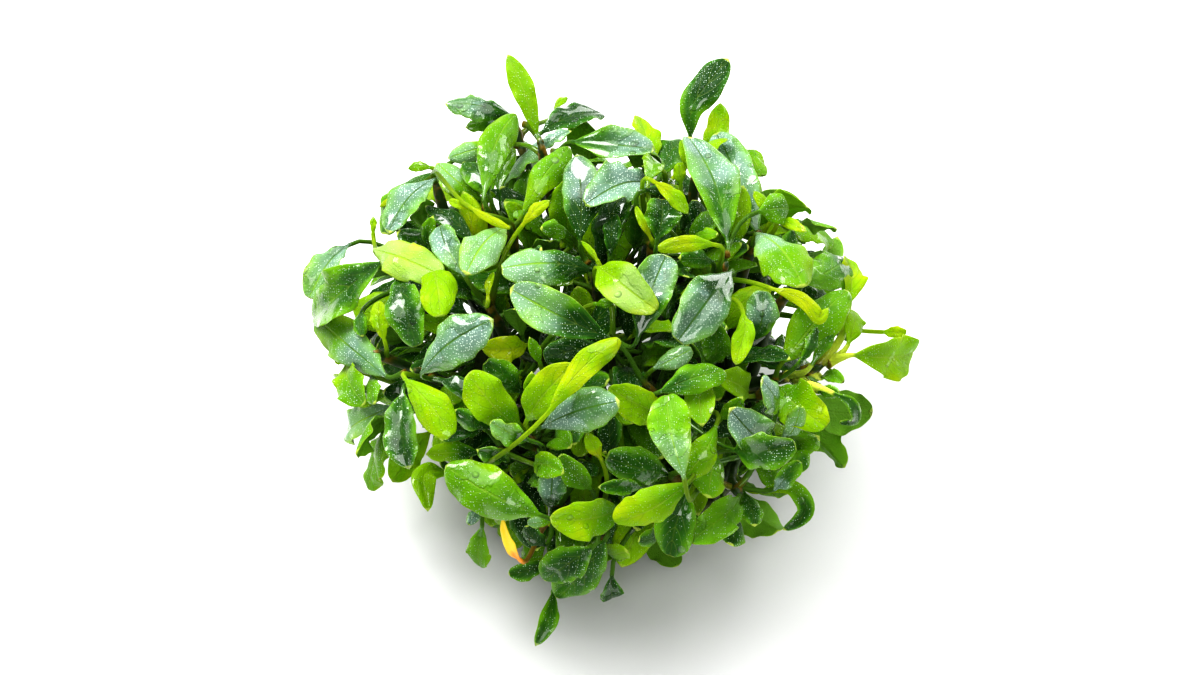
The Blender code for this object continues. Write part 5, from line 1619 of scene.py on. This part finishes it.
def leaf_relief(nodes, at, spacing, vein, midrib, film, bead):
    """A leaf's height in metres: its papillae, sunk veins and midrib, drowned where it is wet."""
    height = nodes.times(nodes.smooth(spacing, 0.6, 0.0), PAPILLA_HEIGHT)
    height = nodes.plus(height, nodes.times(vein, VEIN_HEIGHT))
    height = nodes.plus(height, nodes.times(midrib, MIDRIB_HEIGHT))
    height = nodes.times(height, nodes.minus(1.0, nodes.times(film, 0.85)))
    ripple = nodes.minus(nodes.noise(at.spot, FILM_RIPPLE_SCALE, 2.0, 0.8), 0.5)
    ripple = nodes.times(ripple, FILM_RIPPLE)
    height = nodes.plus(height, nodes.times(film, nodes.plus(ripple, FILM_HEIGHT)))
    return nodes.plus(height, nodes.times(bead, bpy.context.scene.clump_sizes.bead * BEAD_RISE))


@functools.lru_cache(maxsize=1)
def leaf_pattern():
    """The pattern on every leaf: its colour by age, bloom with painted sheen, veins, painted glint specks,
    wet patches and beads.
    """
    sizes = bpy.context.scene.clump_sizes
    nodes, given, out = shared_group(
        "leaf_pattern", ["Pale petiole"], ["Colour", "Glow"], ["Roughness", "Film", "Height", "Thinness"])
    spot = nodes.spot()
    look = nodes.attribute("look")
    age, silver, wet = nodes.add("ShaderNodeSeparateColor", look.outputs["Color"]).outputs
    seed = nodes.attribute("seed").outputs["Fac"]
    across, lengthwise, upper = nodes.place()
    at = PatternPoint(
        spot, age, silver, wet, nodes.math("ABSOLUTE", across), lengthwise, upper,
        nodes.noise(spot, MOTTLE_SCALE, 3.0), nodes.noise(spot, PATCH_SCALE, 2.0))

    own = age_colour(nodes, at)
    vein, midrib = vein_masks(nodes, at, seed, sizes.veins)
    # The bloom and the specks paint sheen and glints into the leaf's colour
    bloom_sheen = bloom_mask(nodes, at, midrib)
    spacing, chance, _ = nodes.cells(spot, 1.0 / sizes.speckle, 0.65)
    glint_speck = speck_mask(nodes, at, bloom_sheen, midrib, spacing, chance)
    blade = nodes.smooth(lengthwise, -0.02, 0.03)
    colour = blade_colour(nodes, at, own, vein, midrib, bloom_sheen, glint_speck, blade)
    colour = nodes.mix(blade, petiole_colour(nodes, at, given.outputs["Pale petiole"]), colour)

    film, bead = wet_film(nodes, at, sizes)
    soaked = nodes.times(film, nodes.smooth(age, 0.2, 0.8, 0.1, 0.55))
    colour = nodes.mix(soaked, colour, own)
    rough = nodes.smooth(nodes.plus(bloom_sheen, nodes.times(at.mottle, 0.3)), 0.0, 1.2, 0.30, 0.42)
    nodes.fill(out, {
        "Colour": colour,
        "Glow": nodes.mix(0.45, colour, bpy.context.scene.clump_colours.lime),
        "Roughness": nodes.minus(rough, nodes.times(film, 0.20)),
        "Film": film,
        "Height": leaf_relief(nodes, at, spacing, vein, midrib, film, bead),
        "Thinness": look.outputs["Alpha"],
    })
    return nodes.tree


def new_material(name):
    """A material with its shader and output, and the short ways to add nodes."""
    made = bpy.data.materials.new(name)
    made.use_nodes = True
    nodes = Nodes(made.node_tree)
    return made, nodes, made.node_tree.nodes["Principled BSDF"], made.node_tree.nodes["Material Output"]


def add_bump(nodes, height, *sockets):
    """Feeds the normals of a bumpy surface, whose height is in metres, to some sockets."""
    bump = nodes.fill(nodes.add("ShaderNodeBump"), {"Strength": 1.0, "Distance": 1.0, "Height": height})
    for socket in sockets:
        nodes.feed(socket, bump.outputs["Normal"])


def plain_finish(nodes, shader, colour, roughness, height):
    """Gives a shader its colour, its roughness and the bumps of its height in metres."""
    nodes.fill(shader, {"Base Color": colour, "Roughness": roughness})
    add_bump(nodes, height, shader.inputs["Normal"])


@functools.lru_cache(maxsize=None)
def leaf_material(name, petiole=0.0):
    """Wet leaf: a glossy coat over its pattern, and light that shines through where it is thin."""
    made, nodes, shader, output = new_material(name)
    pattern = nodes.add("ShaderNodeGroup", node_tree=leaf_pattern())
    nodes.fill(pattern, {"Pale petiole": petiole})
    nodes.fill(shader, {
        "Base Color": pattern.outputs["Colour"],
        "Roughness": pattern.outputs["Roughness"],
        "Coat Weight": pattern.outputs["Film"],
        "Coat Roughness": 0.04,
        "Coat IOR": 1.58,
        "IOR": 1.38,
        "Specular IOR Level": 0.22,
        "Sheen Weight": 0.015,
    })
    through = nodes.add("ShaderNodeBsdfTranslucent")
    nodes.feed(through.inputs["Color"], pattern.outputs["Glow"])
    add_bump(nodes, pattern.outputs["Height"], shader.inputs["Normal"], through.inputs["Normal"])
    surfaces = shader.outputs[0], through.outputs[0]
    blend = nodes.add("ShaderNodeMixShader", pattern.outputs["Thinness"], *surfaces)
    nodes.feed(output.inputs["Surface"], blend.outputs[0])
    return made


@functools.lru_cache(maxsize=1)
def dying_material():
    """Withering leaf: clear yellow that turns orange and then brown towards its tip, in soft blotches."""
    colours = bpy.context.scene.clump_colours
    made, nodes, shader, _ = new_material("dying_leaf")
    spot = nodes.spot()
    _, lengthwise, _ = nodes.place()
    blotch = nodes.noise(spot, BLOTCH_SCALE, 3.0)
    along_it = nodes.plus(lengthwise, nodes.times(nodes.minus(blotch, 0.5), 0.5))
    colour = nodes.mix(nodes.smooth(along_it, 0.55, 0.15), colours.withered, colours.dying)
    colour = nodes.mix(nodes.smooth(along_it, 0.05, -0.25), colour, colours.crown)
    plain_finish(nodes, shader, colour, 0.38, nodes.times(blotch, 0.0004))
    return made


@functools.lru_cache(maxsize=1)
def stem_material():
    """Shoot stem: brown-orange sheaths over green, in bands between the leaf scars."""
    colours = bpy.context.scene.clump_colours
    made, nodes, shader, _ = new_material("shoot_stem")
    spot = nodes.spot()
    _, lengthwise, _ = nodes.place()
    blotch = nodes.noise(spot, BLOTCH_SCALE, 3.0)
    near_crown = nodes.smooth(lengthwise, 0.6, 1.0, 0.05, 1.0)
    sheath = nodes.times(nodes.smooth(blotch, 0.45, 0.62), near_crown)
    colour = nodes.mix(sheath, colours.stem, colours.crown)
    plain_finish(nodes, shader, colour, 0.42, nodes.times(blotch, 0.0003))
    return made


@functools.lru_cache(maxsize=None)
def bark_material(name, fine):
    """Rhizome or root: mottled between its own colour and a darker one, with a fibrous bump."""
    colours = bpy.context.scene.clump_colours
    tone = colours.rhizome if name == "rhizome" else colours.root
    made, nodes, shader, _ = new_material(name)
    spot = nodes.spot()
    blotch = nodes.noise(spot, fine, 4.0, 0.4)
    dark = tuple(part * 0.35 for part in tone)
    pale = tuple(min(part * 1.7, 1.0) for part in tone)
    colour = nodes.mix(nodes.smooth(blotch, 0.32, 0.5), dark, tone)
    colour = nodes.mix(nodes.smooth(blotch, 0.55, 0.72), colour, pale)
    plain_finish(nodes, shader, colour, 0.55, nodes.times(blotch, 0.0006))
    return made


def dress(piece, slot, *nodes):
    """Rides a finished piece on the clump's one body, in place of its nodes."""
    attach(piece, "root")
    if nodes:
        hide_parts(*nodes)


def petiole_finish(shoot):
    """How thick and how pale a shoot's petioles are."""
    return (PALE_PETIOLE, 1.0) if shoot == PALE_SHOOT else (1.0, 0.0)


class CLUMP_OT_named_leaves(bpy.types.Operator):
    """Build the large leaves that are nodes of their own"""

    bl_idname = "clump.named_leaves"
    bl_label = "Large leaves"

    def execute(self, context):
        worst = 0.0
        for number, placed in enumerate(grow_clump().leaves):
            if placed.leaf is None or placed.leaf.name is None:
                continue
            one = placed.leaf
            slot = NODE_SLOTS[one.name]
            skin = Skin()
            start, out = petiole_start(placed, False)
            thick, pale = petiole_finish(placed.crown.shoot)
            rings = add_blade(skin, placed, one.look, number, start, out, PETIOLE_REACH, thick=thick)
            worst = max(worst, same_place(one.name, rings.min(axis=(0, 1)), rings.max(axis=(0, 1))))
            finish = dying_material() if slot == "dying_leaf" else leaf_material(slot, petiole=pale)
            piece = skin.make(one.name + "_blade", [finish])
            dress(piece, slot, one.name)
        print(f"large leaves: at most {worst:.2f} mm off their nodes")
        return {"FINISHED"}


class CLUMP_OT_shoots(bpy.types.Operator):
    """Build each shoot's stems and the leaves that grow with them"""

    bl_idname = "clump.shoots"
    bl_label = "Shoots"

    def execute(self, context):
        growth = grow_clump()
        worst = 0.0
        for shoot in {crown.shoot: None for crown in growth.crowns}:
            skin = Skin()
            thick, pale = petiole_finish(shoot)
            crowns = [crown for crown in growth.crowns if crown.shoot == shoot]
            for number, crown in enumerate(crowns):
                add_stem(skin, crown, FORK_FOOT_RADIUS if number else STEM_FOOT_RADIUS, number)
            for number, placed in enumerate(growth.leaves):
                one = placed.leaf
                if placed.crown.shoot != shoot or (one is not None and one.name is not None):
                    continue
                rng = np.random.default_rng([LOOK_SEED, HIDDEN_LOOK_STREAM + number])
                look = one.look if one else hidden_look(rng)
                foot, out = petiole_start(placed, True)
                _, way = stem_point(placed.crown, placed.step)
                add_blade(skin, placed, look, number, foot, unit(out + way), PETIOLE_SPREAD, thick=thick)
            points = np.concatenate(skin.points)
            worst = max(worst, same_place(shoot, points.min(axis=0), points.max(axis=0)))
            finish = leaf_material("green_leaf", petiole=pale)
            piece = skin.make(shoot + "_growth", [finish, stem_material()])
            dress(piece, "green_leaf", shoot)
        print(f"shoots: at most {worst:.2f} mm off their nodes")
        return {"FINISHED"}


class CLUMP_OT_young_leaves(bpy.types.Operator):
    """Build the narrow young leaves and curls at the crowns"""

    bl_idname = "clump.young_leaves"
    bl_label = "Young leaves"

    def execute(self, context):
        growth = grow_clump()
        skin = Skin()
        for number, one in enumerate(growth.young):
            points, facing, half_width = tiny_blade(one)
            crown = min(growth.crowns, key=lambda each: petiole_cost(each.point, points))
            placed = Placed(one, points, facing, crown, 0, half_width)
            foot, way = stem_point(crown, 0)
            add_blade(skin, placed, one.look, YOUNG_STREAM + number, foot, way, PETIOLE_SPREAD)
        piece = skin.make("young_leaves", [leaf_material("lime_leaf")])
        dress(piece, "lime_leaf")
        return {"FINISHED"}


class CLUMP_OT_inner_leaves(bpy.types.Operator):
    """Build the leaves that fill the clump's inside, back and low edge"""

    bl_idname = "clump.inner_leaves"
    bl_label = "Inner leaves"

    def execute(self, context):
        skin = Skin()
        for number, (placed, here, way) in enumerate(grow_clump().inner):
            rng = np.random.default_rng([LOOK_SEED, INNER_LOOK_STREAM + number])
            look = str(rng.choice(INNER_LOOKS, p=INNER_SHARES))
            add_blade(skin, placed, look, INNER_STREAM + number, here, way, PETIOLE_SPREAD, COARSE_GRID)
        piece = skin.make("inner_leaves", [leaf_material("dark_leaf")])
        dress(piece, "dark_leaf")
        print(len(grow_clump().inner), "inner leaves")
        return {"FINISHED"}


class CLUMP_OT_rhizomes(bpy.types.Operator):
    """Build the creeping rhizomes with their ringed scars"""

    bl_idname = "clump.rhizomes"
    bl_label = "Rhizomes"

    def execute(self, context):
        share = np.linspace(0.0, 1.0, RHIZOME_STATIONS)
        for name, path in zip(RHIZOMES, grow_clump().rhizomes):
            length = run_of(path)
            taper = 1 - RHIZOME_TAPER * np.abs(2 * share - 1) ** 3
            least, rise, power = RHIZOME_SWELL
            scars = least + rise * np.abs(np.sin(math.pi * share * length / RHIZOME_SCAR)) ** power
            ends = np.sqrt(1 - np.abs(2 * share - 1) ** RHIZOME_END[0] * RHIZOME_END[1])
            radii = RHIZOME_RADIUS * taper * scars * ends
            rings = tube_rings(along(path, share), radii, RHIZOME_CORNERS, UPWARDS)
            turn = np.arange(RHIZOME_CORNERS) * 2 * math.pi / RHIZOME_CORNERS
            size, count, twist = RHIZOME_LUMPS
            lumps = size * np.sin(count * turn[None, :] + twist * share[:, None])
            middle = along(path, share)[:, None, :]
            rings = middle + (rings - middle) * (1 + lumps)[..., None]
            skin = Skin()
            skin.add_plain(rings[:, ::-1], path[0], path[-1])
            piece = skin.make(name + "_bark", [bark_material("rhizome", 330.0)])
            dress(piece, "rhizome", name)
        return {"FINISHED"}


def root_strands(rng, rhizomes):
    """Paths of the root strands: most wander over the mat's mound, and some hang from the rhizomes to it.

    A strand's height follows the mound, H (1 - (r / R)^2), plus a wandering lift."""
    t = np.linspace(0.0, 1.0, STRAND_STATIONS)
    paths = []
    for _ in range(STRANDS):
        turn = rng.uniform(0, 2 * math.pi)
        start = ROOT_MAT_RADIUS * math.sqrt(rng.uniform(0.0, 0.9))
        heading = rng.uniform(0, 2 * math.pi)
        bend = rng.uniform(-STRAND_BEND, STRAND_BEND)
        step = rng.uniform(*STRAND_LENGTH) / STRAND_STATIONS
        angle = heading + bend * t + STRAND_WIGGLE[0] * np.sin(STRAND_WIGGLE[1] * t + turn)
        x = start * math.cos(turn) + np.cumsum(np.cos(angle)) * step
        y = start * math.sin(turn) + np.cumsum(np.sin(angle)) * step
        away = np.hypot(x, y)
        squeeze = np.minimum(1.0, ROOT_MAT_RADIUS * STRAND_EDGE / np.maximum(away, 1e-6))
        x, y, away = x * squeeze, y * squeeze, away * squeeze
        mound = ROOT_MAT_TALL * (1 - (away / ROOT_MAT_RADIUS) ** 2) * rng.uniform(*STRAND_HEIGHT)
        z = np.maximum(mound + STRAND_LIFT[0] * np.sin(STRAND_LIFT[1] * t + heading), STRAND_RADIUS)
        paths.append(np.stack([x, y, z], axis=1))
    for path in rhizomes:
        for _ in range(HANGING_STRANDS):
            top = along(path, np.array([rng.uniform(*HANGING_SPAN)]))[0]
            foot = np.array([top[0], top[1], 0.0]) * HANGING_INWARD
            foot += np.array([*rng.uniform(-HANGING_ASIDE, HANGING_ASIDE, 2), STRAND_RADIUS])
            aside = np.sin(5 * t + rng.uniform(0, 6))
            ahead = np.cos(4 * t + rng.uniform(0, 6))
            wander = np.stack([aside, ahead, 0 * t], axis=1)
            line = top + (foot - top) * t[:, None] + wander * (HANGING_WANDER * np.sin(math.pi * t))[:, None]
            paths.append(line)
    return paths


class CLUMP_OT_root_mat(bpy.types.Operator):
    """Build the tangle of roots that the clump rests on"""

    bl_idname = "clump.root_mat"
    bl_label = "Root mat"

    def execute(self, context):
        rng = np.random.default_rng(LOOK_SEED)
        skin = Skin()
        level = np.array([height for height, _ in ROOT_MAT_PROFILE])
        reach = np.array([radius for _, radius in ROOT_MAT_PROFILE])
        fine = np.linspace(0.0, MOUND_TOP, MOUND_STATIONS)
        turn = np.arange(MOUND_CORNERS) * 2 * math.pi / MOUND_CORNERS
        lumps = 1 + sum(size * np.sin(count * turn[None, :] + start + twist * fine[:, None])
                        for size, count, start, twist in ROOT_MAT_LUMPS)
        radius = ROOT_MAT_RADIUS * np.interp(fine, level, reach)[:, None] * lumps
        least, rise, count, twist = MOUND_RIDGES
        radius = radius * (least + rise * np.sin(count * turn[None, :] + twist * fine[:, None]))
        height = np.broadcast_to((ROOT_MAT_TALL * fine)[:, None], radius.shape)
        rings = np.stack([radius * np.cos(turn), radius * np.sin(turn), height], axis=-1)
        skin.add_plain(rings, np.zeros(3), np.array([0.0, 0.0, ROOT_MAT_TALL * MOUND_PEAK]))
        for path in root_strands(rng, grow_clump().rhizomes):
            radii = STRAND_RADIUS * rng.uniform(*STRAND_THINNESS) * np.linspace(1.0, STRAND_END, len(path))
            tube = tube_rings(path, radii, STRAND_CORNERS, STRAND_SIDE)[:, ::-1]
            skin.add_plain(tube, path[0], path[-1])
        piece = skin.make("root_tangle", [bark_material("roots", 900.0)])
        dress(piece, "roots", "root_mat")
        return {"FINISHED"}


def soft_light(name, place, size, power, aim):
    """A square soft light that faces a point."""
    light = bpy.data.lights.new(name, "AREA")
    light.shape = "SQUARE"
    light.size = size
    light.energy = power
    made = bpy.data.objects.new(name, light)
    made.location = place
    made.rotation_euler = (Vector(aim) - Vector(place)).to_track_quat("-Z", "Y").to_euler()
    bpy.context.scene.collection.objects.link(made)
    return made


class CLUMP_OT_stage(bpy.types.Operator):
    """Set up the pale floor, the soft lights and the camera"""

    bl_idname = "clump.stage"
    bl_label = "Stage"

    def execute(self, context):
        scene = context.scene
        settings = scene.clump_stage
        mesh = bpy.data.meshes.new("floor")
        half = FLOOR_HALF
        corners = [(-half, -half, 0), (half, -half, 0), (half, half, 0), (-half, half, 0)]
        mesh.from_pydata(corners, [], [(0, 1, 2, 3)])
        floor = bpy.data.objects.new("floor", mesh)
        scene.collection.objects.link(floor)
        made, nodes, shader, _ = new_material("floor")
        nodes.fill(shader, {"Base Color": (*settings.floor, 1.0), "Roughness": FLOOR_ROUGHNESS})
        mesh.materials.append(made)

        aim = tuple(DOME_CENTRE * MM)
        for name, place, size in LIGHTS:
            soft_light(f"{name}_light", place, size, getattr(settings, name), aim)
        world = bpy.data.worlds.new("studio")
        world.use_nodes = True
        background = world.node_tree.nodes["Background"]
        background.inputs["Color"].default_value = (1.0, 1.0, 1.0, 1.0)
        background.inputs["Strength"].default_value = settings.sky
        scene.world = world
        scene.view_settings.view_transform = "Standard"
        scene.view_settings.look = "High Contrast"

        camera = bpy.data.cameras.new("camera")
        camera.lens = LENS
        camera.sensor_width = SENSOR
        seer = bpy.data.objects.new("camera", camera)
        seer.location = EYE * MM
        seer.rotation_euler = (math.pi / 2 - PHOTO_ELEVATION, 0.0, 0.0)
        scene.collection.objects.link(seer)
        scene.camera = seer
        return {"FINISHED"}


OPERATORS = (
    CLUMP_OT_root_mat, CLUMP_OT_rhizomes, CLUMP_OT_shoots, CLUMP_OT_named_leaves, CLUMP_OT_young_leaves,
    CLUMP_OT_inner_leaves, CLUMP_OT_stage,
)
SETTINGS = (("clump_sizes", ClumpSizes), ("clump_colours", ClumpColours), ("clump_stage", StageSettings))


class CLUMP_PT_panel(bpy.types.Panel):
    """Settings and builders of the clump"""

    bl_idname = "CLUMP_PT_panel"
    bl_label = "Bucephalandra clump"
    bl_space_type = "VIEW_3D"
    bl_region_type = "UI"
    bl_category = "Clump"

    def draw(self, context):
        for name, kind in SETTINGS:
            box = self.layout.box()
            for setting in kind.__annotations__:
                box.prop(getattr(context.scene, name), setting)
        for operator in OPERATORS:
            self.layout.operator(operator.bl_idname)


def register():
    for kind in (*(kind for _, kind in SETTINGS), *OPERATORS, CLUMP_PT_panel):
        bpy.utils.register_class(kind)
    for name, kind in SETTINGS:
        setattr(bpy.types.Scene, name, bpy.props.PointerProperty(type=kind))


def unregister():
    for name, _ in SETTINGS:
        delattr(bpy.types.Scene, name)
    for kind in (CLUMP_PT_panel, *reversed(OPERATORS), *(kind for _, kind in SETTINGS)):
        bpy.utils.unregister_class(kind)


def main():
    register()
    bpy.ops.clump.root_mat()
    bpy.ops.clump.rhizomes()
    bpy.ops.clump.shoots()
    bpy.ops.clump.named_leaves()
    bpy.ops.clump.young_leaves()
    bpy.ops.clump.inner_leaves()
    bpy.ops.clump.stage()


if __name__ == "__main__":
    main()
